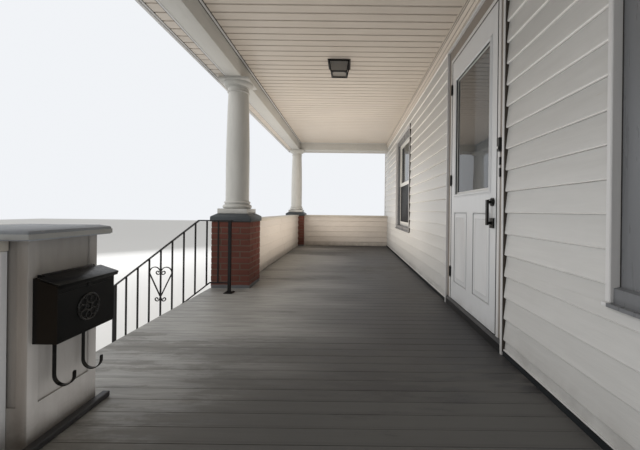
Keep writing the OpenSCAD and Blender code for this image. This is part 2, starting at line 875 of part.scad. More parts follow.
module doorbell() {
    bell_w = 28;
    bell_t = 22;
    color("black")
        translate([jamb_x1 + strip_w, wall_face - casing_out, deck_h + bell_z]) {
            block([0, -bell_t, 0], [bell_w, 0, 76]);
            translate([bell_w / 2, -bell_t, 20])
                rotate([90, 0, 0])
                    cylinder(d = 18, h = 3);
        }
}

lamp_c = [lamp_x, wall_face - lamp_y];

// The slanting side of the lantern: half its width inside the bars at the foot and at the plate
lamp_foot = lamp_foot_w / 2;
lamp_top = lamp_w / 2 - lamp_bar;

// A flush lantern: top plate, four corner bars and a foot ring
module ceiling_light() {
    z0 = ceiling_z - lamp_h;
    z1 = ceiling_z - lamp_bar;
    let_in = lamp_bar / 2;
    corner = [[lamp_foot - lamp_bar, z0 + let_in], [lamp_foot, z0 + let_in],
              [lamp_top, z1 + let_in], [lamp_top - lamp_bar, z1 + let_in]];
    color("black")
        translate([lamp_c[0], lamp_c[1], 0]) {
            post(0, 0, lamp_w, lamp_w, z1, ceiling_z);
            difference() {
                post(0, 0, lamp_foot_w, lamp_foot_w, z0, z0 + lamp_bar);
                post(0, 0, lamp_foot_w - 3 * lamp_bar, lamp_foot_w - 3 * lamp_bar,
                     z0 - 1, z0 + lamp_bar + 1);
            }
            for (sx = [0, 1], sy = [0, 1])
                mirror([sx, 0, 0])
                    mirror([0, sy, 0])
                        intersection() {
                            along_y(0, lamp_top) polygon(corner);
                            along_x(0, lamp_top) polygon(corner);
                        }
        }
}

module ceiling_light_glass() {
    z0 = ceiling_z - lamp_h + lamp_bar;
    z1 = ceiling_z - lamp_bar;
    top = lamp_top - lamp_bar - 2;
    foot = lamp_foot - lamp_bar - 2;
    pane = [[-foot, z0], [foot, z0], [top, z1], [-top, z1]];
    color("white")
        translate([lamp_c[0], lamp_c[1], 0])
            intersection() {
                along_y(-top, top) polygon(pane);
                along_x(-top, top) polygon(pane);
            }
}

// Sawtooth stringers at both sides and in the middle, with the riser boards
module stair_carriage() {
    last = riser_n - 1;
    foot_y = riser_back(last) - riser_t / 2;
    profile = concat(
        [[riser_back(0), 0]],
        [for (k = [1 : last]) each [[riser_back(k - 1), tread_top(k) - tread_t],
                                    [k == last ? foot_y : riser_back(k),
                                     tread_top(k) - tread_t]]],
        [[foot_y, 0]]);
    color("gray") {
        for (x = [stair_x0, (stair_x0 + stair_x1 - stringer_t) / 2, stair_x1 - stringer_t])
            along_x(x, x + stringer_t)
                polygon(profile);
        for (k = [0 : last])
            block([stair_x0, riser_front(k), k == last ? 0 : tread_top(k + 1) - 2 * tread_t],
                  [stair_x1, riser_back(k), tread_top(k) - (k == 0 ? board_t : tread_t)]);
    }
}

module stair_treads()
    color("dimgray")
        for (k = [1 : riser_n - 1])
            block([stair_x0, riser_front(k) - nosing, tread_top(k) - tread_t],
                  [stair_x1, riser_front(k - 1), tread_top(k)]);

rail_c = stair_x0 + rail_x;
post_top_y = newel_in - 94;
post_low_y = post_top_y - baluster_n * baluster_step;
function upright_y(k) = post_low_y + k * baluster_step;
rail_bend = deck_out - 35;
low_bend = deck_out + 70;
rail_slope = atan(slope);
function top_rail_z(y) = deck_h + rail_h - slope * max(0, rail_bend - y);
function low_rail_z(y) = deck_h + rail_low + baluster_w - slope * max(0, low_bend - y);

// A bent bar in the plane of the railing: an arc about a centre, from one angle to another
module bar_arc(c, r, from, to, wide, thick)
    translate([rail_c, c[0], c[1]])
        rotate([90, 0, 90])
            rotate([0, 0, from])
                rotate_extrude(angle = to - from)
                    translate([r - thick / 2, -wide / 2])
                        square([thick, wide]);

// A straight bar in the plane of the railing, let a little way into what it meets
module bar_line(p, q, wide) {
    run = q - p;
    lap = 2;
    translate([rail_c, p[0], p[1]])
        rotate([atan2(run[1], run[0]), 0, 0])
            translate([-wide / 2, -lap, -wide / 2])
                cube([wide, norm(run) + 2 * lap, wide]);
}

// A point at an angle on a circle
function on_circle(c, r, a) = c + r * [cos(a), sin(a)];

// Half of the heart-shaped scroll, to one side of its middle baluster: a strand that
// leaves the lobe at a tangent, crosses the baluster and ends in a small curl
module heart_half() {
    bar = 8;
    strand = bar + 1;
    y_c = upright_y(scroll_at);
    lobe_r = baluster_step / 2 - bar / 2;
    lobe = [y_c + baluster_step / 2, deck_h + scroll_top - lobe_r];
    curl_r = lobe_r * 0.38;
    cross = [y_c, deck_h + scroll_cross];
    sight = cross - lobe;
    leave = atan2(sight[1], sight[0]) + acos(lobe_r / norm(sight));
    heading = leave - 90;
    foot_r = 19;
    foot_start = cross + 30 * [cos(heading), sin(heading)];
    foot = foot_start + foot_r * [-sin(heading), cos(heading)] * -1;
    bar_arc(lobe, lobe_r, leave, 180, bar, bar);
    bar_arc([lobe[0] - lobe_r + curl_r, lobe[1]], curl_r, 180, 350, bar, bar);
    bar_line(on_circle(lobe, lobe_r, leave), foot_start, strand);
    bar_arc(foot, foot_r, heading + 90 - 150, heading + 90, bar, bar);
}

// A flat bar that runs level and then down the stairs, with a mitred bend
module sloping_rail(y_top, y_bend, y_end, z, wide, thick)
    along_x(rail_c - wide / 2, rail_c + wide / 2)
        polygon([[y_top, z], [y_bend, z], [y_end, z - slope * (y_bend - y_end)],
                 [y_end + thick * sin(rail_slope),
                  z - slope * (y_bend - y_end) - thick * cos(rail_slope)],
                 [y_bend + thick * tan(rail_slope / 2), z - thick], [y_top, z - thick]]);

// The railing: end posts on foot plates, balusters, two rails, the scroll, and a
// tongue that curls from the end of the handrail back to the lower post
module stair_railing() {
    tongue_r = 70;
    tongue_t = handrail_t - 2;
    tongue_y = post_low_y - post_w / 2;
    rail_end = tongue_y - (tongue_r + handrail_t / 2) * sin(rail_slope);
    foot_w = 80;
    foot_t = 6;
    let_in = 6;
    color("black") {
        for (k = [0 : baluster_n]) {
            y = upright_y(k);
            half = (k == 0 || k == baluster_n ? post_w : baluster_w) / 2;
            z0 = k == 0 ? 0 : k == baluster_n ? deck_h : low_rail_z(y) - let_in;
            along_x(rail_c - half, rail_c + half)
                polygon([[y - half, z0], [y + half, z0],
                         [y + half, top_rail_z(y + half) - let_in],
                         [y - half, top_rail_z(y - half) - let_in]]);
        }
        post(rail_c, post_top_y, foot_w, foot_w, deck_h, deck_h + foot_t);
        post(rail_c, post_low_y, foot_w, foot_w, 0, foot_t);
        sloping_rail(post_top_y + post_w, rail_bend, rail_end, deck_h + rail_h,
                     handrail_w, handrail_t);
        sloping_rail(post_top_y, low_bend, post_low_y, deck_h + rail_low + baluster_w,
                     baluster_w, baluster_w);
        bar_arc([tongue_y, top_rail_z(rail_end) - (tongue_r + handrail_t / 2) * cos(rail_slope)],
                tongue_r, 90 + rail_slope - 6, 276, post_w - 2, tongue_t);
        heart_half();
        translate([0, 2 * upright_y(scroll_at), 0])
            mirror([0, 1, 0])
                heart_half();
    }
}

// Mailbox: an open-topped box whose rim slopes to the front, hung on the newel pier
mail_y1 = newel_in + mail_d;
mail_z0 = deck_h + mail_z;
mail_fall = 26;
lid_t = 2.5;
lid_angle = atan(mail_fall / mail_d);
mail_pin = 4;
ear_t = 3;
mail_hinge = [newel_in + 11,
              mail_z0 + mail_h + (lid_t + door_gap) / cos(lid_angle) - 11 * tan(lid_angle)];

// A block as wide as the box less an inset, with the sloping rim or past it
module mailbox_block(inset, y0, y1, z0, over)
    along_x(newel_x - mail_w / 2 + inset, newel_x + mail_w / 2 - inset)
        polygon([[y0, z0], [y1, z0], [y1, mail_z0 + mail_h - mail_fall + over],
                 [y0, mail_z0 + mail_h + over]]);

// The box, with two ears on its back that carry the hinge pin
module mailbox_body()
    color("black") {
        difference() {
            mailbox_block(0, newel_in, mail_y1, mail_z0, 0);
            mailbox_block(mail_sheet, newel_in + mail_sheet, mail_y1 - mail_sheet,
                          mail_z0 + mail_sheet, 60);
        }
        for (side = [-1, 1])
            translate([newel_x + side * (mail_w / 2 - 16), 0, 0]) {
                block([-ear_t / 2, newel_in, mail_z0 + mail_h - 20],
                      [ear_t / 2, mail_hinge[0] + mail_pin, mail_hinge[1]]);
                block([-ear_t / 2, newel_in, mail_hinge[1] - mail_pin],
                      [ear_t / 2, mail_hinge[0], mail_hinge[1] + mail_pin]);
                translate([0, mail_hinge[0], mail_hinge[1]])
                    rotate([0, 90, 0])
                        cylinder(r = mail_pin, h = ear_t, center = true);
            }
        translate([newel_x, mail_hinge[0], mail_hinge[1]])
            rotate([0, 90, 0])
                cylinder(d = mail_pin, h = mail_w - 30, center = true);
    }

// The lid turns on a sleeve round the pin, and its front edge is folded down
module mailbox_lid() {
    half = mail_w / 2 + 8;
    reach = mail_d + 6;
    sleeve = mail_w - 44;
    ear_clear = mail_pin + door_gap;
    color("black")
        translate([newel_x, mail_hinge[0], mail_hinge[1]])
            rotate([-lid_angle, 0, 0])
                difference() {
                    union() {
                        block([-sleeve / 2, 3, -lid_t / 2], [sleeve / 2, reach, lid_t / 2]);
                        block([-half, ear_clear, -lid_t / 2], [half, reach, lid_t / 2]);
                        block([-half, reach - 2, -14], [half, reach, lid_t / 2]);
                        rotate([0, 90, 0])
                            cylinder(d = 10, h = sleeve, center = true);
                    }
                    rotate([0, 90, 0])
                        cylinder(d = mail_pin + 1, h = mail_w, center = true);
                }
}

// Two hooks of bent flat bar under the mailbox
module newspaper_hooks() {
    bar_w = 13;
    bar_t = 3;
    bend_r = 36;
    drop = 130;
    tip = 8;
    color("black")
        for (x = [newel_x - hook_step / 2, newel_x + hook_step / 2])
            translate([x - bar_w / 2, newel_in + 12, mail_z0]) {
                block([0, 0, -drop], [bar_w, bar_t, 0]);
                translate([0, bend_r, -drop])
                    rotate([-90, 0, 0])
                        rotate([0, 90, 0])
                            rotate_extrude(angle = 180)
                                translate([bend_r - bar_t, 0])
                                    square([bar_t, bar_w]);
                block([0, 2 * bend_r - bar_t, -drop], [bar_w, 2 * bend_r, tip - drop]);
            }
}

house_foundation();
foundation_walls();
floor_frame();
floor_boards();
brick_pier_far();
brick_pier_middle();
brick_pier_near();
pier_caps();
newel_pier();
newel_pier_cap();
column_far();
column_middle();
column_near();
low_wall_front_far();
low_wall_front_near();
low_wall_end_far();
low_wall_end_near();
low_wall_caps();
beam_front();
beam_end_far();
beam_end_near();
ceiling();
eave_soffit();
fascia();
gutter();
roof();
wall_far();
wall_near();
wall_over_door();
frieze_moulding();
door_frame();
door_threshold();
door_leaf();
door_lite_frame();
door_glass();
door_handle();
door_hinges();
window_casings();
window_sashes();
window_panes();
doorbell();
ceiling_light();
ceiling_light_glass();
stair_carriage();
stair_treads();
stair_railing();
mailbox_body();
mailbox_lid();
newspaper_hooks();
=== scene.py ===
import math
import random

import bmesh
import bpy
from bpy.props import FloatProperty, FloatVectorProperty, IntProperty, PointerProperty
from bpy.types import Operator, Panel, PropertyGroup
from mathutils import Matrix, Vector


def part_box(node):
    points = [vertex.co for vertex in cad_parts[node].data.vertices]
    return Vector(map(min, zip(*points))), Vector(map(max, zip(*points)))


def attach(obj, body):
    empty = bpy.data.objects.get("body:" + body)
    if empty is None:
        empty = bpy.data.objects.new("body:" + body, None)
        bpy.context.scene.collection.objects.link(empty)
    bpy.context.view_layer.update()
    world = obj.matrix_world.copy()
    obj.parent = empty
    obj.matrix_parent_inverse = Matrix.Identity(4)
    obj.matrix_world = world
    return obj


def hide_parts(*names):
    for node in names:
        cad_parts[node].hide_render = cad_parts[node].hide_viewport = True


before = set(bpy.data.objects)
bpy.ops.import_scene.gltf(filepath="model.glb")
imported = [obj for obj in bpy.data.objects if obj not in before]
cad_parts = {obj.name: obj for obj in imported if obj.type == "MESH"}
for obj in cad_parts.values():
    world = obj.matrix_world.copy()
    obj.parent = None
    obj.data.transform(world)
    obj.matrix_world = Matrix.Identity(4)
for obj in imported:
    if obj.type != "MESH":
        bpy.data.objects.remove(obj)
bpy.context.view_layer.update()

bl_info = {
    "name": "Front porch",
    "version": (1, 0, 0),
    "blender": (4, 5, 0),
    "location": "View3D > Sidebar > Porch",
    "description": "Dresses the porch frame with siding, brick, boards, shingles and trim",
    "category": "Object",
}

PORCH = "porch"
DOOR = "entry_door"
LID = "mailbox_cover"
SIDES = (-1, 1)

# Corners and planes of the CAD nodes that the pieces are set against
WALL_LOW, WALL_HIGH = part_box("wall_over_door")
WALL_FACE, WALL_BACK, WALL_TOP = WALL_LOW.y, WALL_HIGH.y, WALL_HIGH.z
WALL_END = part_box("wall_near")[1].x
FLOOR_LOW, FLOOR_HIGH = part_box("floor_boards")
DECK, DECK_FOOT, DECK_FRONT, DECK_END = FLOOR_HIGH.z, FLOOR_LOW.z, FLOOR_LOW.y, FLOOR_HIGH.x
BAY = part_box("brick_pier_near")[0].x + 0.19
PIER_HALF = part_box("brick_pier_middle")[1].x
BRICK_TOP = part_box("brick_pier_middle")[1].z
ROW_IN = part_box("low_wall_front_far")[1].y
LOW_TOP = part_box("low_wall_front_far")[1].z
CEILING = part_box("ceiling")[0].z
CEILING_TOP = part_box("ceiling")[1].z
CEILING_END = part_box("ceiling")[1].x
BEAM_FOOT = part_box("beam_front")[0].z
BEAM_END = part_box("beam_front")[1].x
SOFFIT_LOW, SOFFIT_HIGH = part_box("eave_soffit")
ROOF_LOW, ROOF_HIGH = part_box("roof")
LEAF_LOW, LEAF_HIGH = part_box("door_leaf")
GLASS_LOW, GLASS_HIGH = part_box("door_glass")
NEWEL_LOW, NEWEL_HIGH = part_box("newel_pier")
MAIL_LOW, MAIL_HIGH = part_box("mailbox_body")
FRAME_LOW, FRAME_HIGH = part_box("door_frame")
COLUMN_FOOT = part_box("column_middle")[0].z

# Measures that the CAD parts have and that their boxes don't give
ROOF_THICK = 0.042
PITCH = 0.25
HANDLE_X = LEAF_HIGH.x - 0.040
LATCH_Z = LEAF_LOW.z + 0.772
GRIP_Z = LATCH_Z - 0.125
DOOR_GAP = 0.005
STRIP_FOOT = DECK + 0.066
WINDOW_XS = (-1.790, 2.962)
WINDOW_HALF = 0.545
WINDOW_Z = (1.305, 2.683)
WINDOW_FRAME = 0.075
WINDOW_OUT = WINDOW_HALF + WINDOW_FRAME
WINDOW_FOOT = WINDOW_Z[0] - 0.052
WINDOW_HEAD = WINDOW_Z[1] + WINDOW_FRAME
WINDOW_LEDGE = 0.012
FRAME_FACE = WALL_FACE + 0.010
SASH_FACE = WALL_FACE + 0.046
SCREEN_FACE = SASH_FACE + 0.004
SASH = 0.048
TRIM = 0.020
TRIM_FACE = WALL_FACE - TRIM
POCKET = 0.0055
RAIL_HEART = -0.584
RAIL_BAR = 0.0078

# The way down, and stretches that draw a grain out along one axis
DOWN = (0.0, 0.0, -1.0)
ALONG_X = (1.0, 9.0, 9.0)
ALONG_Y = (9.0, 1.0, 9.0)
ALONG_Z = (9.0, 9.0, 1.0)


def ink(code):
    """Turns a six-digit colour code into the linear colour that a shader takes."""
    parts = [int(code[i:i + 2], 16) / 255 for i in (0, 2, 4)]
    return tuple(p / 12.92 if p < 0.04045 else ((p + 0.055) / 1.055) ** 2.4 for p in parts)


# Sizes and colours that a user may change
def length(label, text, size):
    """A length in metres."""
    return FloatProperty(name=label, description=text, default=size, min=0.0, unit="LENGTH")


def colour(label, text, code):
    """A colour."""
    return FloatVectorProperty(name=label, description=text, default=ink(code), size=3,
                               min=0.0, max=1.0, subtype="COLOR")


class PorchSizes(PropertyGroup):
    """Sizes of the boards, bricks and shingles"""
    course: length("Siding course", "Height of one course of lap siding", 0.116)
    course_start: length("First butt", "Height of the first full butt edge above the deck", 0.082)
    lean: length("Siding lean", "How far a course leans back over its height", 0.013)
    board: length("Deck board", "Width of one deck board", 0.0824)
    board_gap: length("Deck gap", "Gap between two deck boards", 0.0016)
    panel: length("Ceiling board", "Width of one ceiling board", 0.0981)
    groove: length("Ceiling groove", "Width of the groove between ceiling boards", 0.011)
    brick_courses: IntProperty(name="Brick courses", description="Courses in one pier",
                               default=24, min=8, max=40)
    joint: length("Mortar joint", "Width of the mortar joints", 0.010)
    shingle: length("Shingle course", "Height of one shingle course up the slope", 0.140)
    tab: length("Shingle tab", "Width of one shingle tab", 0.305)


class PorchColours(PropertyGroup):
    """Colours of the finishes"""
    house: colour("House siding", "Vinyl siding of the house wall", "CACAC8")
    # A darker, browner copy of the low wall siding: painted shade.
    cream: colour("Low wall siding", "Siding of the low walls", "CDC5BC")
    tan: colour("Near siding", "Siding beside the newel pier", "B7A18A")
    trim: colour("Trim", "Painted trim and casings", "CECECE")
    # Columns and beams: white paint darkened to grey, painted shade.
    column: colour("Columns", "Paint of the columns", "C6C5C0")
    ceiling: colour("Ceiling", "Ceiling and soffit boards", "D3CABF")
    # The deck colour is its dark tone in painted shade by the house; deck_paint lightens it towards the
    # street.
    deck: colour("Deck paint", "Paint of the deck boards", "353537")
    brick: colour("Brick", "Face of the bricks", "673A32")
    mortar: colour("Mortar", "Joints of the brickwork", "63544B")
    cap: colour("Pier caps", "Paint of the pier caps", "42474A")
    newel: colour("Newel pier", "Paint of the newel pier", "A09C97")
    shingle: colour("Shingles", "Granules of the shingles", "55514D")
    door: colour("Door", "Paint of the door", "D0D2D4")
    iron: colour("Iron", "Paint of the railing", "111010")


# Short hand for node trees
class Nodes:
    """The nodes of one tree"""

    def __init__(self, tree):
        self.tree = tree

    def fill(self, socket, value):
        """Links an input to another socket, or sets its value."""
        if isinstance(value, bpy.types.NodeSocket):
            self.tree.links.new(value, socket)
        elif socket.type == "RGBA":
            socket.default_value = (*value[:3], 1.0)
        else:
            socket.default_value = value

    def add(self, kind, inputs=None, **options):
        """A new node with its options and inputs."""
        made = self.tree.nodes.new(kind)
        for option, value in options.items():
            setattr(made, option, value)
        for name, value in (inputs or {}).items():
            self.fill(made.inputs[name], value)
        return made

    def calc(self, operation, first, second=0.0, clamp=False):
        """One sum."""
        return self.add("ShaderNodeMath", {0: first, 1: second}, operation=operation,
                        use_clamp=clamp).outputs[0]

    def times(self, first, second):
        """One value times another."""
        return self.calc("MULTIPLY", first, second)

    def plus(self, first, second):
        """One value and another."""
        return self.calc("ADD", first, second)

    def minus(self, first, second):
        """One value less another."""
        return self.calc("SUBTRACT", first, second)

    def mix(self, factor, first, second):
        """Two colours mixed."""
        return self.add("ShaderNodeMix", {0: factor, 6: first, 7: second}, data_type="RGBA").outputs[2]

    def layers(self, base, *coats):
        """Colours laid over a first one, each through a mask and to a share."""
        for mask, share, tint in coats:
            base = self.mix(self.times(mask, share), base, tint)
        return base

    def span(self, value, low, high, to_low=0.0, to_high=1.0):
        """A value stretched from one range to another and stopped at the ends."""
        return self.add("ShaderNodeMapRange",
                        {"Value": value, "From Min": low, "From Max": high, "To Min": to_low,
                         "To Max": to_high}, interpolation_type="SMOOTHSTEP").outputs[0]

    def noise(self, vector, scale, detail, rough=0.5, twist=0.0):
        """Cloudy noise."""
        return self.add("ShaderNodeTexNoise",
                        {"Vector": vector, "Scale": scale, "Detail": detail, "Roughness": rough,
                         "Distortion": twist}).outputs[0]

    def split(self, vector):
        """The three parts of a vector."""
        return self.add("ShaderNodeSeparateXYZ", {0: vector}).outputs

    def stretched(self, given):
        """The place of a group, drawn out by its stretch."""
        return self.add("ShaderNodeVectorMath", {0: given["Vector"], 1: given["Stretch"]},
                        operation="MULTIPLY").outputs[0]

    def lightness(self, tint):
        """The first part of a grey colour."""
        return self.add("ShaderNodeSeparateColor", {0: tint}).outputs[0]

    def face_tone(self):
        """The tone stamped on each face."""
        return self.add("ShaderNodeAttribute", attribute_name="tone").outputs["Fac"]

    def facing(self):
        """The way that the surface faces."""
        return self.add("ShaderNodeNewGeometry").outputs["Normal"]

    def effect(self, name, **inputs):
        """One of the shared effects, with its inputs."""
        if name not in GROUPS:
            GROUPS[name] = make_group(name)
        made = self.add("ShaderNodeGroup", node_tree=GROUPS[name])
        for socket, value in inputs.items():
            self.fill(made.inputs[socket], value)
        return made.outputs

    def surface(self, shader, base, rough, height, strength, distance=0.002):
        """Feeds a colour, a roughness and a bump to the surface shader."""
        self.fill(shader["Base Color"], base)
        self.fill(shader["Roughness"], rough)
        bump = self.add("ShaderNodeBump",
                        {"Strength": strength, "Distance": distance, "Height": height})
        self.fill(shader["Normal"], bump.outputs[0])


# Shared effects
def effect_grain(nodes, given):
    """Long streaks along one way of the surface, with their height."""
    place = nodes.stretched(given)
    broad = nodes.noise(place, given["Scale"], 4.0, 0.62, 0.35)
    fine = nodes.noise(place, nodes.times(given["Scale"], 5.3), 3.0, 0.7)
    return {"Streaks": nodes.span(broad, 0.28, 0.74),
            "Height": nodes.plus(nodes.times(broad, 0.6), nodes.times(fine, 0.4))}


def effect_wear(nodes, given):
    """Patches where a finish is rubbed, thin or stained."""
    place = nodes.stretched(given)
    broad = nodes.noise(place, given["Scale"], 2.0)
    rough = nodes.noise(place, nodes.times(given["Scale"], 9.0), 6.0, 0.72)
    both = nodes.plus(nodes.times(broad, 0.55), nodes.times(rough, 0.45))
    edge = nodes.minus(0.78, nodes.times(given["Amount"], 0.42))
    return {"Mask": nodes.span(nodes.minus(both, edge), -0.02, 0.05),
            "Soft": nodes.span(broad, 0.3, 0.7)}


def effect_soil(nodes, given):
    """Dirt that thickens towards a level, broken up by noise."""
    height = nodes.split(given["Vector"])["Z"]
    above = nodes.calc("DIVIDE", nodes.minus(height, given["Level"]), given["Reach"])
    near = nodes.calc("SUBTRACT", 1.0, above, clamp=True)
    broken = nodes.noise(given["Vector"], 9.0, 5.0, 0.65)
    return {"Mask": nodes.times(near, nodes.span(broken, 0.3, 0.7))}


def effect_rows(nodes, given):
    """A tone for each board of a row, the rise across it, and a line at the joints."""
    count = nodes.calc("DIVIDE", nodes.minus(given["Position"], given["Start"]), given["Width"])
    tone = nodes.add("ShaderNodeTexWhiteNoise", {"W": nodes.calc("FLOOR", count)},
                     noise_dimensions="1D").outputs["Value"]
    rise = nodes.calc("FRACT", count)
    inside = nodes.calc("ABSOLUTE", nodes.minus(rise, 0.5))
    return {"Tone": tone, "Joint": nodes.span(inside, 0.40, 0.5), "Rise": rise}


def effect_grit(nodes, given):
    """Grains of sand or stone, with their height."""
    cells = nodes.add("ShaderNodeTexVoronoi", {"Vector": given["Vector"], "Scale": given["Scale"],
                                               "Randomness": 1.0}).outputs
    fine = nodes.noise(given["Vector"], nodes.times(given["Scale"], 0.35), 5.0, 0.7)
    return {"Value": nodes.lightness(cells["Color"]),
            "Height": nodes.plus(nodes.times(cells["Distance"], 0.5), nodes.times(fine, 0.5))}


def effect_blocks(nodes, given):
    """Joints of laid blocks, read on whichever way the wall faces."""
    place = nodes.split(given["Vector"])
    across = nodes.calc("ABSOLUTE", nodes.split(given["Normal"])["X"])
    run = nodes.add("ShaderNodeMix", {0: nodes.calc("GREATER_THAN", across, 0.5), 2: place["X"],
                                      3: place["Y"]}, data_type="FLOAT").outputs[0]
    flat = nodes.add("ShaderNodeCombineXYZ", {"X": run, "Y": place["Z"]}).outputs[0]
    wall = nodes.add("ShaderNodeTexBrick",
                     {"Vector": flat, "Color1": (0.0, 0.0, 0.0), "Color2": (1.0, 1.0, 1.0),
                      "Scale": 1.0, "Mortar Size": 0.006, "Mortar Smooth": 0.4,
                      "Brick Width": given["Width"], "Row Height": given["Height"]}).outputs
    return {"Joint": wall["Fac"], "Tone": nodes.lightness(wall["Color"])}


# Inputs of each effect with their usual values; a linked one has none
LINKED = None
UNSTRETCHED = (1.0, 1.0, 1.0)
GROUPS = {}
EFFECTS = {
    "grain": (effect_grain, {"Vector": LINKED, "Stretch": UNSTRETCHED, "Scale": 10.0}),
    "wear": (effect_wear, {"Vector": LINKED, "Stretch": UNSTRETCHED, "Scale": 2.0, "Amount": 0.3}),
    "soil": (effect_soil, {"Vector": LINKED, "Level": 0.0, "Reach": 0.2}),
    "rows": (effect_rows, {"Position": 0.0, "Width": 0.1, "Start": 0.0}),
    "grit": (effect_grit, {"Vector": LINKED, "Scale": 300.0}),
    "blocks": (effect_blocks, {"Vector": LINKED, "Normal": LINKED, "Width": 0.4, "Height": 0.2}),
}


def make_group(name):
    """The shader group of an effect: inputs from the table, outputs from its own function."""
    maker, inputs = EFFECTS[name]
    tree = bpy.data.node_groups.new("porch_" + name, "ShaderNodeTree")
    for socket, value in inputs.items():
        kind = "NodeSocketFloat" if isinstance(value, float) else "NodeSocketVector"
        made = tree.interface.new_socket(name=socket, in_out="INPUT", socket_type=kind)
        if value is not None:
            made.default_value = value
    results = maker(Nodes(tree), tree.nodes.new("NodeGroupInput").outputs)
    for socket in results:
        tree.interface.new_socket(name=socket, in_out="OUTPUT", socket_type="NodeSocketFloat")
    out = tree.nodes.new("NodeGroupOutput").inputs
    for socket, value in results.items():
        tree.links.new(value, out[socket])
    return tree


# Kinds of finish
def tint_of(code):
    """A colour by its code, by its name in the panel, or as it stands."""
    if not isinstance(code, str):
        return code
    colours = bpy.context.scene.porch_colours
    return getattr(colours, code) if hasattr(colours, code) else ink(code)


def darker(tint, share):
    """The same colour with less light in it."""
    return tuple(c * share for c in tint[:3])


def new_material(name):
    """An empty material: its nodes, the place on the object, and its surface shader's inputs."""
    material = bpy.data.materials.new(name)
    material.use_nodes = True
    nodes = Nodes(material.node_tree)
    nodes.tree.nodes.clear()
    shader = nodes.add("ShaderNodeBsdfPrincipled")
    nodes.add("ShaderNodeOutputMaterial", {0: shader.outputs[0]})
    return material, nodes, nodes.add("ShaderNodeTexCoord").outputs["Object"], shader.inputs


def coated(name, tint, under, stretch, scale, grain, bump, wear, rough, worn_stretch=(1, 1, 1),
           soil=None, rows=None, vary=0.0, metallic=0.0, shine=0.5, under_edge=None):
    """A painted, moulded or metal surface: tone, streaks, wear, dirt, roughness and bump, with painted
    shade and painted light where they are asked for.
    """
    tint = tint_of(tint)
    material, nodes, place, shader = new_material(name)
    grained = nodes.effect("grain", Vector=place, Stretch=stretch, Scale=scale)
    worn = nodes.effect("wear", Vector=place, Stretch=worn_stretch, Scale=1.6, Amount=wear)
    base = nodes.mix(grained["Streaks"], darker(tint, 1.0 - grain), tint)
    base = nodes.layers(base, (worn["Soft"], 0.18, darker(tint, 0.72)))
    # Face tone: random on boards and bricks, painted shade on the frieze's quirks and the door panels'
    # steps.
    if vary:
        base = nodes.layers(base, (nodes.face_tone(), vary, darker(tint, 0.45)))
    if rows:
        axis, width, first, share, painted_lap_shade, joint = rows
        row = nodes.effect("rows", Position=nodes.split(place)[axis], Width=width, Start=first)
        # The rise darkens each course towards its top, painted shade under the butt above; the joint line
        # darkens the edges of each board, painted shade in the grooves.
        base = nodes.layers(base, (row["Tone"], share, darker(tint, 0.5)),
                            (row["Rise"], painted_lap_shade, darker(tint, 0.5)),
                            (row["Joint"], joint, darker(tint, 0.35)))
    # Painted light: faces that look down are lightened to a pale colour, a painted highlight for light
    # bounced up from below.
    if under_edge:
        down = nodes.times(nodes.split(nodes.facing())["Z"], -1.0)
        base = nodes.mix(nodes.span(down, 0.15, 0.6), base, ink(under_edge))
    base = nodes.mix(worn["Mask"], base, ink(under) if under else darker(tint, 0.8))
    if soil:
        level, reach, amount = soil
        dirt = nodes.effect("soil", Vector=place, Level=level, Reach=reach)
        base = nodes.layers(base, (dirt["Mask"], amount, ink("4B4036")))
    shader["Metallic"].default_value = metallic
    shader["Specular IOR Level"].default_value = shine
    spread = nodes.span(nodes.plus(grained["Streaks"], worn["Mask"]), 0.0, 2.0, rough - 0.08, rough + 0.22)
    height = nodes.minus(grained["Height"], nodes.times(worn["Mask"], 0.25))
    nodes.surface(shader, base, spread, height, bump)
    return material


def sandy(name, tint, other, scale=260.0, bump=0.5, vary=0.0, rough=0.85, wear=0.3, foot=None,
          blocks=None):
    """Brick, mortar, masonry or shingle: grains of two colours, patches and a coarse bump."""
    tint, other = tint_of(tint), ink(other)
    material, nodes, place, shader = new_material(name)
    grit = nodes.effect("grit", Vector=place, Scale=scale)
    worn = nodes.effect("wear", Vector=place, Scale=5.0, Amount=wear)
    base = nodes.layers(tint, (grit["Value"], 0.5, other), (worn["Soft"], 0.35, darker(tint, 0.7)))
    height = grit["Height"]
    if vary:
        base = nodes.layers(base, (nodes.face_tone(), vary, darker(other, 0.55)))
    if blocks:
        laid = nodes.effect("blocks", Vector=place, Normal=nodes.facing(), Width=blocks[0],
                            Height=blocks[1])
        base = nodes.layers(base, (laid["Tone"], 0.25, darker(tint, 0.6)),
                            (laid["Joint"], 1.0, darker(tint, 0.55)))
        height = nodes.minus(height, nodes.times(laid["Joint"], 3.0))
    base = nodes.layers(base, (worn["Mask"], 0.5, other))
    if foot:
        base = nodes.mix(foot_strip(nodes, nodes.split(place), worn["Soft"], foot), base, ink(foot[2]))
    spread = nodes.span(grit["Value"], 0.0, 1.0, rough - 0.08, rough + 0.08)
    nodes.surface(shader, base, spread, height, bump, 0.0015)
    return material


def foot_strip(nodes, spot, soft, foot):
    """Mask of the painted strip at the foot of the piers, on the sides that face the porch."""
    ragged = nodes.plus(spot["Z"], nodes.times(soft, 0.008))
    strip = nodes.times(nodes.calc("LESS_THAN", ragged, foot[1]),
                        nodes.calc("GREATER_THAN", spot["Z"], foot[0]))
    inner = nodes.times(nodes.calc("GREATER_THAN", spot["Y"], 0.006 - PIER_HALF),
                        nodes.calc("LESS_THAN", nodes.calc("ABSOLUTE", spot["X"]),
                                   BAY - PIER_HALF + 0.004))
    back = nodes.calc("GREATER_THAN", spot["Y"], PIER_HALF - 0.006)
    return nodes.times(strip, nodes.calc("MAXIMUM", inner, back))


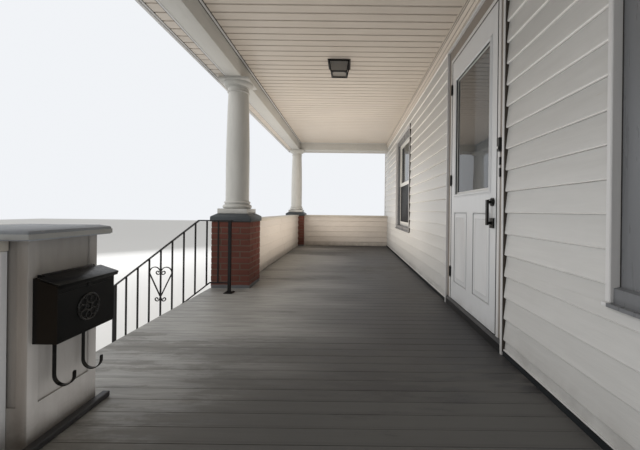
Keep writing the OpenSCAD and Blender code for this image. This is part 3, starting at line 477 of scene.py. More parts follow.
def deck_paint(name, tint, along, across, width, first):
    """Worn porch paint: a tone for each board, streaks along it, scuffs and bare wood, lightened towards
    the street as painted sunlight.
    """
    tint = tint_of(tint)
    material, nodes, place, shader = new_material(name)
    stretch = tuple(1.2 if axis == along else 14.0 for axis in "XYZ")
    drawn = tuple(0.35 if axis == along else 1.4 for axis in "XYZ")
    spot = nodes.split(place)
    grained = nodes.effect("grain", Vector=place, Stretch=stretch, Scale=3.2)
    scuffed = nodes.effect("wear", Vector=place, Stretch=drawn, Scale=1.5, Amount=0.62)
    bare = nodes.effect("wear", Vector=place, Stretch=drawn, Scale=4.1, Amount=0.24)
    row = nodes.effect("rows", Position=spot[across], Width=width, Start=first)
    base = nodes.mix(row["Tone"], darker(tint, 0.92), darker(tint, 1.08))
    # Painted light: the boards turn paler towards the street, a painted pool of sunlight on the front of
    # the deck.
    painted_sunlight = nodes.plus(spot["Y"], nodes.times(scuffed["Soft"], 0.5))
    base = nodes.mix(nodes.span(painted_sunlight, 1.55, 0.45), base, ink("A3A29E"))
    base = nodes.layers(base, (grained["Streaks"], 0.35, darker(tint, 0.62)),
                        (scuffed["Mask"], 0.42, ink("71706D")), (scuffed["Soft"], 0.22, ink("5B5A58")),
                        (bare["Mask"], 0.5, ink("8A7F72")), (row["Joint"], 0.18, ink("2A2724")))
    spread = nodes.span(nodes.plus(scuffed["Mask"], bare["Mask"]), 0.0, 1.5, 0.48, 0.8)
    height = nodes.minus(grained["Height"], nodes.times(bare["Mask"], 0.4))
    nodes.surface(shader, base, spread, height, 0.35)
    return material


def glazing(name, tint, rough=0.02, see_through=0.9):
    """Window glass with a faint film of dust."""
    tint = ink(tint)
    material, nodes, place, shader = new_material(name)
    dusty = nodes.effect("wear", Vector=place, Scale=3.0, Amount=0.35)
    shader["Transmission Weight"].default_value = see_through
    shader["IOR"].default_value = 1.65
    nodes.surface(shader, nodes.layers(tint, (dusty["Soft"], 0.2, darker(tint, 0.8))),
                  nodes.span(dusty["Mask"], 0.0, 1.0, rough, rough + 0.12), dusty["Soft"], 0.02)
    return material


def screen_cloth(name, tint):
    """Woven insect screen."""
    tint = ink(tint)
    material, nodes, place, shader = new_material(name)
    weave, cross = [nodes.add("ShaderNodeTexWave", {"Vector": place, "Scale": 90.0}, wave_type="BANDS",
                              bands_direction=way).outputs["Fac"] for way in "XZ"]
    wires = nodes.calc("MAXIMUM", weave, cross)
    dusty = nodes.effect("wear", Vector=place, Scale=2.0, Amount=0.4)
    base = nodes.mix(wires, darker(tint, 0.55), tint)
    base = nodes.layers(base, (dusty["Soft"], 0.3, darker(tint, 1.4)))
    nodes.surface(shader, base, nodes.span(dusty["Soft"], 0.0, 1.0, 0.55, 0.75), wires, 0.3, 0.0005)
    return material


# Finishes: tint, colour under it, stretch, scale, grain, bump, wear, roughness, special values
def coats(sizes):
    """The painted, moulded and metal finishes."""
    lapped = (1.2, 12.0, 12.0)
    # House siding rows: a tone for each course and painted shade towards its top.
    clad = ("Z", sizes.course, DECK + sizes.course_start, 0.07, 0.20, 0.0)
    # Ceiling rows: a tone for each board and painted shade in the grooves.
    boarded = ("X", sizes.panel, -CEILING_END, 0.06, 0.0, 0.42)
    splashed = {"soil": (DECK, 0.12, 0.3)}
    riser = darker(tint_of("deck"), 1.5)
    return {
        "house_siding": ("house", "B3AB9E", lapped, 3.4, 0.09, 0.5, 0.24, 0.46,
                         {"worn_stretch": (0.5, 2.0, 5.0), "soil": (DECK, 0.16, 0.35), "vary": 0.10,
                          "rows": clad, "under_edge": "F4F2EE"}),
        "cream_siding": ("cream", None, (2.4, 2.4, 14.0), 3.2, 0.10, 0.45, 0.14, 0.5,
                         {"soil": (DECK, 0.12, 0.4), "vary": 0.14}),
        "tan_siding": ("tan", None, lapped, 3.6, 0.16, 0.5, 0.18, 0.52,
                       {"soil": (DECK, 0.14, 0.4), "vary": 0.16}),
        "wall_core": (ink("B9A88C"), None, (1.0, 8.0, 8.0), 5.0, 0.2, 0.3, 0.2, 0.7,
                      {"rows": ("Z", 0.24, 0.0, 0.2, 0.0, 0.0)}),
        "trim_paint": ("trim", None, ALONG_Z, 4.0, 0.06, 0.2, 0.14, 0.42, splashed),
        # The frieze's face tone darkens its quirks: painted shade.
        "frieze_paint": ("ceiling", None, ALONG_X, 3.0, 0.07, 0.2, 0.14, 0.44, {"vary": 0.95}),
        "beam_paint": ("column", None, ALONG_X, 3.0, 0.07, 0.2, 0.12, 0.44, {}),
        "column_paint": ("column", None, (8.0, 8.0, 1.5), 3.0, 0.08, 0.22, 0.16, 0.42,
                         {"soil": (COLUMN_FOOT, 0.10, 0.3)}),
        "ceiling_vinyl": ("ceiling", None, ALONG_Y, 3.0, 0.07, 0.2, 0.10, 0.4, {"rows": boarded}),
        "soffit_vinyl": ("ceiling", None, (3, 3, 3), 3.0, 0.08, 0.2, 0.14, 0.42, {"vary": 0.10}),
        "fascia_paint": ("trim", None, ALONG_X, 3.0, 0.08, 0.2, 0.08, 0.45, {}),
        "gutter_metal": ("D9D9D5", None, (2.0, 2.0, 9.0), 2.5, 0.08, 0.08, 0.2, 0.34, {"metallic": 0.1}),
        "riser_paint": (riser, "8A7F72", ALONG_X, 3.0, 0.2, 0.35, 0.32, 0.6, {"soil": (0.0, 0.3, 0.4)}),
        "cap_paint": ("cap", "8A8C86", (3, 3, 3), 6.0, 0.2, 0.5, 0.3, 0.55, {}),
        "newel_cap_paint": ("82868B", "C4BFBA", (3, 3, 3), 6.0, 0.2, 0.5, 0.55, 0.5, {}),
        "newel_paint": ("newel", "C0B8AB", ALONG_Z, 4.0, 0.14, 0.4, 0.26, 0.5,
                        {"soil": (DECK, 0.16, 0.55)}),
        "low_cap_paint": ("BDB7AC", "8F8A82", (3, 3, 6), 4.0, 0.12, 0.3, 0.3, 0.5, {}),
        "casing_paint": ("8A827A", None, ALONG_Z, 4.0, 0.10, 0.2, 0.2, 0.5, splashed),
        # Dark strips in pockets and joints: painted shade.
        "pocket_dirt": ("453F38", None, ALONG_Z, 6.0, 0.3, 0.3, 0.2, 0.8, {}),
        "foot_paint": ("25282A", "6D6A64", ALONG_X, 6.0, 0.3, 0.3, 0.16, 0.75, {"shine": 0.2}),
        "window_frame_paint": ("6F7174", None, ALONG_Z, 3.0, 0.06, 0.12, 0.12, 0.34, {}),
        "roof_boards": ("A58C6C", None, ALONG_X, 5.0, 0.3, 0.4, 0.2, 0.7, {}),
        "flashing_metal": ("A3A4A2", None, (5, 5, 5), 4.0, 0.15, 0.2, 0.35, 0.38, {"metallic": 0.8}),
        # The door's face tone darkens the panels' steps: painted shade.
        "door_paint": ("door", None, ALONG_Z, 3.5, 0.05, 0.18, 0.12, 0.36,
                       {"soil": (DECK + 0.05, 0.10, 0.35), "vary": 0.85}),
        "threshold_metal": ("3A3A3B", "66625D", ALONG_X, 6.0, 0.25, 0.3, 0.4, 0.4, {"metallic": 0.6}),
        "sash_vinyl": ("D6D6D3", None, (5, 5, 5), 3.0, 0.06, 0.12, 0.16, 0.36, {}),
        "black_metal": ("0C0B0B", "24221F", (8, 8, 8), 8.0, 0.3, 0.15, 0.12, 0.36, {"shine": 0.3}),
        "mailbox_paint": ("0B0B0B", "262422", (8, 8, 8), 8.0, 0.3, 0.2, 0.14, 0.36, {"shine": 0.28}),
        "rosette_metal": ("1D1C1B", "34312D", (8, 8, 8), 8.0, 0.25, 0.1, 0.2, 0.3, {"shine": 0.6}),
        "iron_paint": ("iron", "2B231E", (9, 9, 9), 9.0, 0.35, 0.5, 0.2, 0.45, {"shine": 0.3}),
        "black_plastic": ("161616", None, (9, 9, 9), 12.0, 0.2, 0.1, 0.15, 0.4, {}),
        "rubber": ("2B2A29", None, (9, 9, 9), 12.0, 0.2, 0.2, 0.1, 0.7, {}),
    }


def other_finishes(sizes):
    """Deck paint, brickwork, shingles and glass: the maker, its values and what is special."""
    strip = {"foot": (DECK_FOOT, DECK + 0.035, "6C6E70")}
    return {
        "deck_boards": (deck_paint, ("deck", "Y", "X", sizes.board, -DECK_END), {}),
        "tread_boards": (deck_paint, ("deck", "X", "Y", 0.13, 0.0), {}),
        "brick": (sandy, ("brick", "7C4A3D"), {"vary": 0.75, "bump": 0.55, **strip}),
        "mortar": (sandy, ("mortar", "75655A"), {"bump": 0.7, "rough": 0.9, **strip}),
        "masonry": (sandy, ("8E8A83", "A7A39B"),
                    {"scale": 160.0, "bump": 0.6, "wear": 0.4, "blocks": (0.406, 0.203)}),
        "shingle": (sandy, ("shingle", "77726C"), {"scale": 420.0, "bump": 0.7, "vary": 0.6, "rough": 0.9}),
        # The window and door glass are tinted dark: painted shade of the unlit rooms behind them.
        "window_glass": (glazing, ("4A5050",), {}),
        "door_pane": (glazing, ("4B4E50",), {}),
        "lantern_glass": (glazing, ("A59F96",), {"rough": 0.3, "see_through": 0.5}),
        "screen": (screen_cloth, ("121314",), {}),
    }


MATERIALS = {}


def finish(name):
    """The finish of that name, made the first time it is asked for."""
    if name not in MATERIALS:
        sizes = bpy.context.scene.porch_sizes
        rows = coats(sizes)
        if name in rows:
            *values, special = rows[name]
            MATERIALS[name] = coated(name, *values, **special)
        else:
            maker, values, special = other_finishes(sizes)[name]
            MATERIALS[name] = maker(name, *values, **special)
    return MATERIALS[name]


# Mesh making
def start():
    """An empty bmesh whose faces carry a tone, so that boards and bricks differ a little, and so that
    quirks and panel steps carry painted shade.
    """
    bm = bmesh.new()
    bm.faces.layers.float.new("tone")
    return bm


def stamp(bm, verts, tone):
    """Gives the faces at these points one tone."""
    layer = bm.faces.layers.float["tone"]
    for face in {f for v in verts for f in v.link_faces}:
        face[layer] = tone


def block(bm, low, high, tone=0.0):
    """A box between two opposite corners."""
    size = [abs(high[i] - low[i]) for i in range(3)]
    centre = [(high[i] + low[i]) / 2 for i in range(3)]
    place = Matrix.Translation(centre) @ Matrix.Diagonal((*size, 1.0))
    verts = bmesh.ops.create_cube(bm, size=1.0, matrix=place)["verts"]
    stamp(bm, verts, tone)
    return verts


def round_edges(bm, size, steps=1, sharper_than=0.6, verts=None):
    """Bevels the sharp edges of everything, or of these points."""
    chosen = set(bm.verts if verts is None else verts)
    edges = [e for e in bm.edges if len(e.link_faces) == 2 and e.calc_face_angle(0.0) > sharper_than
             and chosen.issuperset(e.verts)]
    bmesh.ops.bevel(bm, geom=edges, offset=size, offset_type="OFFSET", segments=steps, profile=0.5,
                    affect="EDGES", material=-1, clamp_overlap=True)


def blocks(boxes, ease=0.0, steps=1):
    """A bmesh of boxes, with their edges rounded where a size is given."""
    bm = start()
    for low, high in boxes:
        block(bm, low, high)
    if ease:
        round_edges(bm, ease, steps)
    return bm


def eased_block(bm, low, high, ease, steps=1):
    """A box with edges that are rounded on their own."""
    round_edges(bm, ease, steps, verts=block(bm, low, high))


def rod(bm, first, last, radius, steps=16, end_radius=None):
    """A round bar between two points."""
    way = Vector(last) - Vector(first)
    turn = way.to_track_quat("Z", "Y").to_matrix().to_4x4()
    place = Matrix.Translation((Vector(first) + Vector(last)) / 2) @ turn
    bmesh.ops.create_cone(bm, cap_ends=True, segments=steps, radius1=radius,
                          radius2=radius if end_radius is None else end_radius,
                          depth=way.length, matrix=place)


def at(axis, across, up, run):
    """A point from an outline that is drawn out along X, Y or Z."""
    return Vector({"X": (run, across, up), "Y": (across, run, up), "Z": (across, up, run)}[axis])


def bar(bm, outline, run0, run1, axis="X", tone=0.0):
    """An outline drawn out along an axis."""
    verts = [bm.verts.new(at(axis, a, b, run0)) for a, b in outline]
    grown = bmesh.ops.extrude_face_region(bm, geom=[bm.faces.new(verts)])["geom"]
    moved = [g for g in grown if isinstance(g, bmesh.types.BMVert)]
    bmesh.ops.translate(bm, verts=moved, vec=at(axis, 0.0, 0.0, run1 - run0))
    stamp(bm, verts + moved, tone)
    return verts + moved


def turned(bm, outline, centre, steps=32):
    """A round piece: radius and height points turned about an upright axis."""
    verts = [bm.verts.new((centre[0] + r, centre[1], z)) for r, z in outline]
    edges = [bm.edges.new((a, b)) for a, b in zip(verts, verts[1:])]
    bmesh.ops.spin(bm, geom=verts + edges, cent=(centre[0], centre[1], 0.0), axis=(0.0, 0.0, 1.0),
                   angle=math.tau, steps=steps, use_merge=True)
    bmesh.ops.remove_doubles(bm, verts=bm.verts, dist=1e-6)


def frame_moulding(bm, rect, face, outline):
    """A mitred moulding round a rectangle in the plane of a wall that faces the street.

    The outline gives how far out from the rectangle each point is, and how far behind the face."""
    x0, x1, z0, z1 = rect
    middle_x, middle_z = (x0 + x1) / 2, (z0 + z1) / 2
    out, y = outline[0][0], face + outline[0][1]
    made = [bm.verts.new(p) for p in ((x0 - out, y, z0 - out), (x1 + out, y, z0 - out),
                                      (x1 + out, y, z1 + out), (x0 - out, y, z1 + out))]
    edges = [bm.edges.new((made[i], made[(i + 1) % 4])) for i in range(4)]
    for out, deep in outline[1:] + outline[:1]:
        grown = bmesh.ops.extrude_edge_only(bm, edges=edges)["geom"]
        verts = [v for v in grown if isinstance(v, bmesh.types.BMVert)]
        edges = [e for e in grown if isinstance(e, bmesh.types.BMEdge)]
        for v in verts:
            v.co = (x1 + out if v.co.x > middle_x else x0 - out, face + deep,
                    z1 + out if v.co.z > middle_z else z0 - out)
        made += verts
    bmesh.ops.remove_doubles(bm, verts=list(set(made)), dist=1e-6)


def cut_away(bm, point, normal, faces=None):
    """Cuts away what lies past a plane, of everything or of some faces, and closes the cut."""
    geom = bm.verts[:] + bm.edges[:] + bm.faces[:]
    if faces is not None:
        geom = list({g for f in faces for g in (f, *f.edges, *f.verts)})
    result = bmesh.ops.bisect_plane(bm, geom=geom, plane_co=point, clear_outer=True, dist=1e-6,
                                    plane_no=Vector(normal).normalized())
    edges = [g for g in result["geom_cut"] if isinstance(g, bmesh.types.BMEdge)]
    bmesh.ops.holes_fill(bm, edges=edges, sides=0)


def boards(low, high, width):
    """Where each board of a run starts, and the width that makes the run come out even."""
    count = round((high - low) / width)
    even = (high - low) / count
    return [(low + n * even, even) for n in range(count)]


def piece(name, bm, material, body=PORCH, smooth=None):
    """Ends a bmesh as an object with its finish, riding on a body."""
    bmesh.ops.recalc_face_normals(bm, faces=bm.faces)
    mesh = bpy.data.meshes.new(name)
    bm.to_mesh(mesh)
    bm.free()
    made = bpy.data.objects.new(name, mesh)
    bpy.context.scene.collection.objects.link(made)
    mesh.materials.append(finish(material))
    if smooth is not None:
        mesh.polygons.foreach_set("use_smooth", [True] * len(mesh.polygons))
        mesh.set_sharp_from_angle(angle=smooth)
    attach(made, body)
    return made


def softened(node, material, size, body=PORCH):
    """A CAD node with its triangles joined and its edges rounded, in place of the node."""
    bm = bmesh.new()
    bm.from_mesh(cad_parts[node].data)
    bm.faces.layers.float.new("tone")
    bmesh.ops.remove_doubles(bm, verts=bm.verts, dist=1e-5)
    bmesh.ops.dissolve_limit(bm, angle_limit=0.01, verts=bm.verts, edges=bm.edges)
    round_edges(bm, size, steps=2, sharper_than=0.5)
    made = piece(node + "_soft", bm, material, body, 0.7)
    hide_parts(node)


# Siding: how thick it is, and the rounding of a butt as depths and heights
SIDING_THICK = 0.017
BUTT = ((0.0062, 0.0), (0.0030, 0.0010), (0.0009, 0.0032), (0.0, 0.0066))


def course_outline(face, inward, foot, top, low, high, lean):
    """Outline of one course, cut off between two heights: rounded butt, leaning face, back."""
    back = face + inward * SIDING_THICK

    def depth(z):
        """How deep the leaning face is at a height."""
        return face + inward * lean * (z - foot) / (top - foot)
    if low > foot + 0.001:
        return [(back, low), (depth(low), low), (depth(high), high), (back, high)]
    return [(back, low + 0.0012), *((face + inward * deep, low + up) for deep, up in BUTT),
            (depth(high), high), (back, high)]


def lap_siding(bm, face, inward, run, levels, axis, openings, sizes, seed):
    """Courses of lap siding on a wall, left open at the openings, with lapped ends."""
    chance = random.Random(seed)
    low, high = levels
    foot = DECK + sizes.course_start
    while foot > low:
        foot -= sizes.course
    while foot + sizes.course <= low:
        foot += sizes.course
    while foot < high:
        top = foot + sizes.course
        cuts = sorted({max(low, foot), min(high, top)}
                      | {z for o in openings for z in o[2:] if max(low, foot) < z < min(high, top)})
        for z0, z1 in zip(cuts, cuts[1:]):
            if z1 - z0 < 0.004:
                continue
            spans = [run]
            for x0, x1, o0, o1 in openings:
                if o0 < z1 - 0.001 and o1 > z0 + 0.001:
                    spans = [s for a, b in spans for s in ((a, min(b, x0)), (max(a, x1), b))
                             if s[1] - s[0] > 0.01]
            for a, b in spans:
                tone = chance.random()
                strips = [(0.0, a, b)]
                if b - a > 2.6 and z0 == max(low, foot):
                    lap = a + (b - a) * chance.uniform(0.35, 0.65)
                    strips = [(0.0012, a, lap), (0.0, lap - 0.02, b)]
                for out, first, last in strips:
                    outline = course_outline(face - inward * out, inward, foot, top, z0, z1,
                                             sizes.lean)
                    bar(bm, outline, first, last, axis, tone)
        foot = top


def wall_boxes(run, depth, levels, openings):
    """The solid wall behind the siding, as boxes round its openings."""
    spans = [(*run, *levels)]
    for x0, x1, z0, z1 in openings:
        a, b, low, high = spans.pop()
        spans += [(a, x0, low, high), (x0, x1, low, z0), (x0, x1, z1, high), (x1, b, low, high)]
    return [((a, depth[0], low), (b, depth[1], high)) for a, b, low, high in spans
            if b > a and high > low]


class PORCH_OT_house_siding(Operator):
    """Lap siding on the house wall, with its starter strip, end trim and foot board"""
    bl_idname = "porch.house_siding"
    bl_label = "House siding"

    def execute(self, context):
        sizes = context.scene.porch_sizes
        butts = WALL_FACE - sizes.lean
        left, right = FRAME_LOW.x - POCKET, FRAME_HIGH.x + POCKET
        side = WINDOW_OUT + TRIM + POCKET
        gaps = [(x - side, x + side, WINDOW_FOOT - WINDOW_LEDGE, WINDOW_HEAD + TRIM + 0.002)
                for x in WINDOW_XS]
        rim = 0.006
        holes = [(x - (WINDOW_OUT + rim), x + (WINDOW_OUT + rim), WINDOW_FOOT, WINDOW_HEAD + rim)
                 for x in WINDOW_XS]
        foot = DECK + 0.024
        stretches = (("wall_far", (-WALL_END, left), foot, gaps[:1], holes[:1], 3),
                     ("wall_near", (right, WALL_END), foot, gaps[1:], holes[1:], 5),
                     ("wall_over_door", (left, right), FRAME_HIGH.z + 0.002, [], [], 7))
        for node, run, foot, windows, openings, seed in stretches:
            bm = start()
            lap_siding(bm, butts, 1.0, run, (foot, WALL_TOP - 0.002), "X", windows, sizes, seed)
            made = piece("siding_" + node, bm, "house_siding")
            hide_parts(node)
            low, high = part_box(node)
            core = wall_boxes((low.x, high.x), (WALL_FACE + 0.0035, WALL_BACK), (low.z, WALL_TOP),
                              openings)
            piece("core_" + node, blocks(core), "wall_core")
        runs = ((-WALL_END, left), (right, WALL_END))
        trim = [((a, butts - 0.0015, DECK + 0.0275), (b, WALL_FACE + 0.004, DECK + 0.0345))
                for a, b in runs]
        trim += [((side * WALL_END, butts - 0.006, DECK + 0.001),
                  (side * (WALL_END - 0.028), WALL_FACE + 0.004, WALL_TOP)) for side in SIDES]
        piece("siding_edge_trim", blocks(trim, 0.0015), "trim_paint")
        foot_board = [((a, butts - 0.0045, DECK + 0.0005), (b, WALL_FACE + 0.004, DECK + 0.0275))
                      for a, b in runs]
        piece("siding_foot_board", blocks(foot_board), "foot_paint")
        return {"FINISHED"}


class PORCH_OT_low_wall_siding(Operator):
    """Lap siding on both faces of the low walls"""
    bl_idname = "porch.low_wall_siding"
    bl_label = "Low wall siding"

    def execute(self, context):
        inset = 0.0165
        levels = (DECK + 0.012, LOW_TOP - 0.001)
        for seed, node in enumerate(("low_wall_front_far", "low_wall_front_near",
                                     "low_wall_end_far", "low_wall_end_near")):
            low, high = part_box(node)
            along, across = ("X", "Y") if "front" in node else ("Y", "X")
            run, faces = [(low["XYZ".index(i)], high["XYZ".index(i)]) for i in (along, across)]
            bm = start()
            for face, inward in zip(faces, (1.0, -1.0)):
                lap_siding(bm, face, inward, run, levels, along, [], context.scene.porch_sizes,
                           seed * 2 + (inward > 0))
            in_x, in_y = (0.0, inset) if along == "X" else (inset, 0.0)
            block(bm, (low.x + in_x, low.y + in_y, DECK), (high.x - in_x, high.y - in_y, LOW_TOP))
            material = "tan_siding" if node == "low_wall_front_near" else "cream_siding"
            made = piece("siding_" + node, bm, material)
            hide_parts(node)
        return {"FINISHED"}


class PORCH_OT_siding_channels(Operator):
    """Channels that end the siding at the door, the windows and the piers, and dark strips of painted shade
    in the pockets beside the door and window trim
    """
    bl_idname = "porch.siding_channels"
    bl_label = "Siding channels"

    def execute(self, context):
        edges = [(x, side, DECK + 0.018, FRAME_HIGH.z)
                 for x, side in ((FRAME_LOW.x, -1), (FRAME_HIGH.x, 1))]
        edges += [(x + side * (WINDOW_OUT + TRIM), side, WINDOW_FOOT - WINDOW_LEDGE, WINDOW_HEAD + TRIM)
                  for x in WINDOW_XS for side in SIDES]
        # Dark strips in the pockets beside the trim stand for the shade there: painted shade.
        pockets = [((x, front + 0.0015, z0), (x + side * wide, WALL_FACE + 0.003, z1))
                   for x, side, z0, z1 in edges
                   for front, wide in ((TRIM_FACE, 0.002), (WALL_FACE, POCKET + 0.02))]
        piece("siding_pockets", blocks(pockets), "pocket_dirt")
        channels = [((x0, face - half, DECK + 0.001), (x1, face + half, LOW_TOP - 0.001))
                    for face in (-ROW_IN, ROW_IN)
                    for x0, x1, half in ((-PIER_HALF - 0.014, -PIER_HALF, 0.008),
                                         (NEWEL_HIGH.x, NEWEL_HIGH.x + 0.022, 0.009))]
        piece("low_wall_channels", blocks(channels, 0.0015), "trim_paint")
        return {"FINISHED"}


# Brickwork
def pier_course(odd, half, joint):
    """Corners of the six bricks of one course; the next course is laid a quarter turn round."""
    long = half - joint / 2
    deep = 0.090
    bricks = [(-half, -half, -half + long, -half + deep), (half - long, -half, half, -half + deep),
              (-half, half - deep, -half + long, half), (half - long, half - deep, half, half),
              (-half, -half + deep + joint, -half + deep, half - deep - joint),
              (half - deep, -half + deep + joint, half, half - deep - joint)]
    if odd:
        bricks = [(a[1], a[0], a[3], a[2]) for a in bricks]
    return bricks


class PORCH_OT_brick_piers(Operator):
    """The three brick piers, laid brick by brick on a mortar core"""
    bl_idname = "porch.brick_piers"
    bl_label = "Brick piers"

    def execute(self, context):
        sizes = context.scene.porch_sizes
        rise = BRICK_TOP / sizes.brick_courses
        uneven = 0.0008
        inset = PIER_HALF - 0.0035
        for seed, (node, x) in enumerate((("brick_pier_far", -BAY), ("brick_pier_middle", 0.0),
                                          ("brick_pier_near", BAY))):
            chance = random.Random(40 + seed)
            bm = start()
            for n in range(sizes.brick_courses):
                z0 = n * rise + sizes.joint / 2
                z1 = (n + 1) * rise - sizes.joint / 2
                for a in pier_course(n % 2 == 1, PIER_HALF, sizes.joint):
                    out = chance.uniform(-0.0012, 0.0)
                    block(bm, (x + a[0] - out, a[1] - out, z0 + chance.uniform(-uneven, uneven)),
                          (x + a[2] + out, a[3] + out, z1 + chance.uniform(-uneven, uneven)),
                          chance.random())
            round_edges(bm, 0.0025)
            made = piece(node + "_bricks", bm, "brick")
            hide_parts(node)
            core = blocks([((x - inset, -inset, 0.0), (x + inset, inset, BRICK_TOP))])
            piece(node + "_mortar", core, "mortar")
        return {"FINISHED"}


# Floor, ceiling and eaves
class PORCH_OT_deck_boards(Operator):
    """Painted floor boards that run out from the house, and the moulding under their edge"""
    bl_idname = "porch.deck_boards"
    bl_label = "Deck boards"

    def execute(self, context):
        sizes = context.scene.porch_sizes
        bm = start()
        chance = random.Random(11)
        for first, width in boards(-DECK_END, DECK_END, sizes.board):
            a = first + sizes.board_gap / 2
            spans = [(a, a + width - sizes.board_gap, DECK_FRONT)]
            for x in (-BAY, 0.0, BAY):
                spans = self.round_pier(spans, x)
            lift = chance.uniform(-0.0006, 0.0)
            for p, q, front in spans:
                block(bm, (p, front, DECK_FOOT), (q, WALL_FACE - 0.002, DECK + lift), chance.random())
        round_edges(bm, 0.0010)
        made = piece("deck_boards", bm, "deck_boards")
        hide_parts("floor_boards")
        mould = [((a + 0.004, DECK_FRONT + 0.012, DECK_FOOT - 0.019),
                  (b - 0.004, DECK_FRONT + 0.034, DECK_FOOT))
                 for a, b in ((-BAY + PIER_HALF, -PIER_HALF), (PIER_HALF, BAY - PIER_HALF))]
        piece("deck_edge_mould", blocks(mould, 0.004, 2), "riser_paint")
        return {"FINISHED"}

    def round_pier(self, spans, x):
        """Splits a board's spans at a pier, with the part behind the pier cut short."""
        parts = []
        for p, q, front in spans:
            left, right = max(p, x - PIER_HALF), min(q, x + PIER_HALF)
            if left >= right or front > DECK_FRONT:
                parts.append((p, q, front))
            else:
                parts += [(p, left, front), (right, q, front), (left, right, PIER_HALF + 0.003)]
        return [s for s in parts if s[1] - s[0] > 0.001]


def board_outline(a, b, face, back, groove):
    """Ceiling board with half a groove along both lower edges."""
    half, ease = groove / 2, 0.0022
    deep = back - 0.0025
    return [(a, back), (a, deep), (a + half, deep), (a + half, face + ease), (a + half + ease, face),
            (b - half - ease, face), (b - half, face + ease), (b - half, deep), (b, deep), (b, back)]


class PORCH_OT_ceiling_boards(Operator):
    """Grooved boards of the ceiling and of the soffit, with their edge trim"""
    bl_idname = "porch.ceiling_boards"
    bl_label = "Ceiling and soffit boards"

    def execute(self, context):
        sizes = context.scene.porch_sizes
        bm = start()
        for a, width in boards(-CEILING_END, CEILING_END, sizes.panel):
            bar(bm, board_outline(a, a + width, CEILING, CEILING_TOP, sizes.groove), ROW_IN,
                WALL_FACE, "Y")
        made = piece("ceiling_boards", bm, "ceiling_vinyl")
        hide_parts("ceiling")
        self.soffit(sizes)
        self.edge_trim()
        return {"FINISHED"}

    def soffit(self, sizes):
        """Soffit boards on the three open sides, mitred at the corners."""
        low, high = SOFFIT_LOW, SOFFIT_HIGH
        inner = -ROW_IN
        chance = random.Random(17)
        bm = start()
        ends = start()
        for a, width in boards(low.x, high.x, sizes.panel):
            bar(bm, board_outline(a, a + width, low.z, high.z, sizes.groove), low.y, inner, "Y",
                chance.random())
        for side in SIDES:
            cut_away(bm, (side * BEAM_END, inner, 0.0), (side, 1.0, 0.0),
                     [f for f in bm.faces if f.calc_center_median().x * side > 0])
        cut_away(bm, (0.0, inner, 0.0), (0.0, 1.0, 0.0), list(bm.faces))
        for a, width in boards(low.y, WALL_FACE, sizes.panel):
            bar(ends, board_outline(a, a + width, low.z, high.z, sizes.groove), BEAM_END, high.x, "X",
                chance.random())
        cut_away(ends, (BEAM_END, inner, 0.0), (-1.0, -1.0, 0.0), list(ends.faces))
        both = ends.copy()
        bmesh.ops.scale(both, vec=(-1.0, 1.0, 1.0), verts=both.verts)
        for other in (ends, both):
            spare = bpy.data.meshes.new("spare")
            other.to_mesh(spare)
            bm.from_mesh(spare)
            bpy.data.meshes.remove(spare)
            other.free()
        made = piece("soffit_boards", bm, "soffit_vinyl")
        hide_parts("eave_soffit")

    def edge_trim(self):
        """Channels round the ceiling, the seam by the beam and the channel at the fascia, with thin dark
        strips of painted shade along their joints.
        """
        end, z = CEILING_END, CEILING
        trim = [((-end, ROW_IN, z - 0.010), (end, ROW_IN + 0.022, z + 0.002))]
        trim += [((side * end, ROW_IN, z - 0.010), (side * (end - 0.022), WALL_FACE - 0.058, z + 0.002))
                 for side in SIDES]
        lines = [((-end, ROW_IN + y0, z + z0), (end, ROW_IN + y1, z + z1))
                 for y0, y1, z0, z1 in ((0.0215, 0.026, -0.005, 0.002), (-0.0005, 0.004, -0.013, -0.009))]
        end, z, wide = BEAM_END, BEAM_FOOT, 0.016
        outer = SOFFIT_LOW.y + 0.001
        for y, past, edge in ((-ROW_IN - 0.010, 0.0, -0.004), (outer, 0.118, wide)):
            trim.append(((-end - past, y, z - 0.003), (end + past, y + wide, z + 0.001)))
            lines.append(((-end - 0.1, y + edge, z - 0.0015), (end + 0.1, y + edge + 0.004, z + 0.001)))
        trim += [((side * x, y, z - 0.003), (side * (x + wide), WALL_FACE, z + 0.001))
                 for side in SIDES
                 for x, y in ((end - 0.006, -ROW_IN), (SOFFIT_HIGH.x - 0.017, SOFFIT_LOW.y + 0.017))]
        piece("soffit_channels", blocks(trim, 0.001), "trim_paint")
        piece("ceiling_joint_lines", blocks(lines), "pocket_dirt")


# Roof: how far a course runs under the next, its butts, and the share of whole tabs
UNDER_NEXT = 0.03
TAB_THICK = (0.0065, 0.0085, 0.0105)
WHOLE_TABS = 0.7


def slope_matrix(corner, along, up):
    """Places a flat slope: its run along the eave, its rise, and its outward side."""
    out = along.cross(up)
    out = -out if out.z < 0 else out
    rows = [(along[i], up[i], out[i], corner[i]) for i in range(3)]
    return Matrix((*rows, (0.0, 0.0, 0.0, 1.0)))


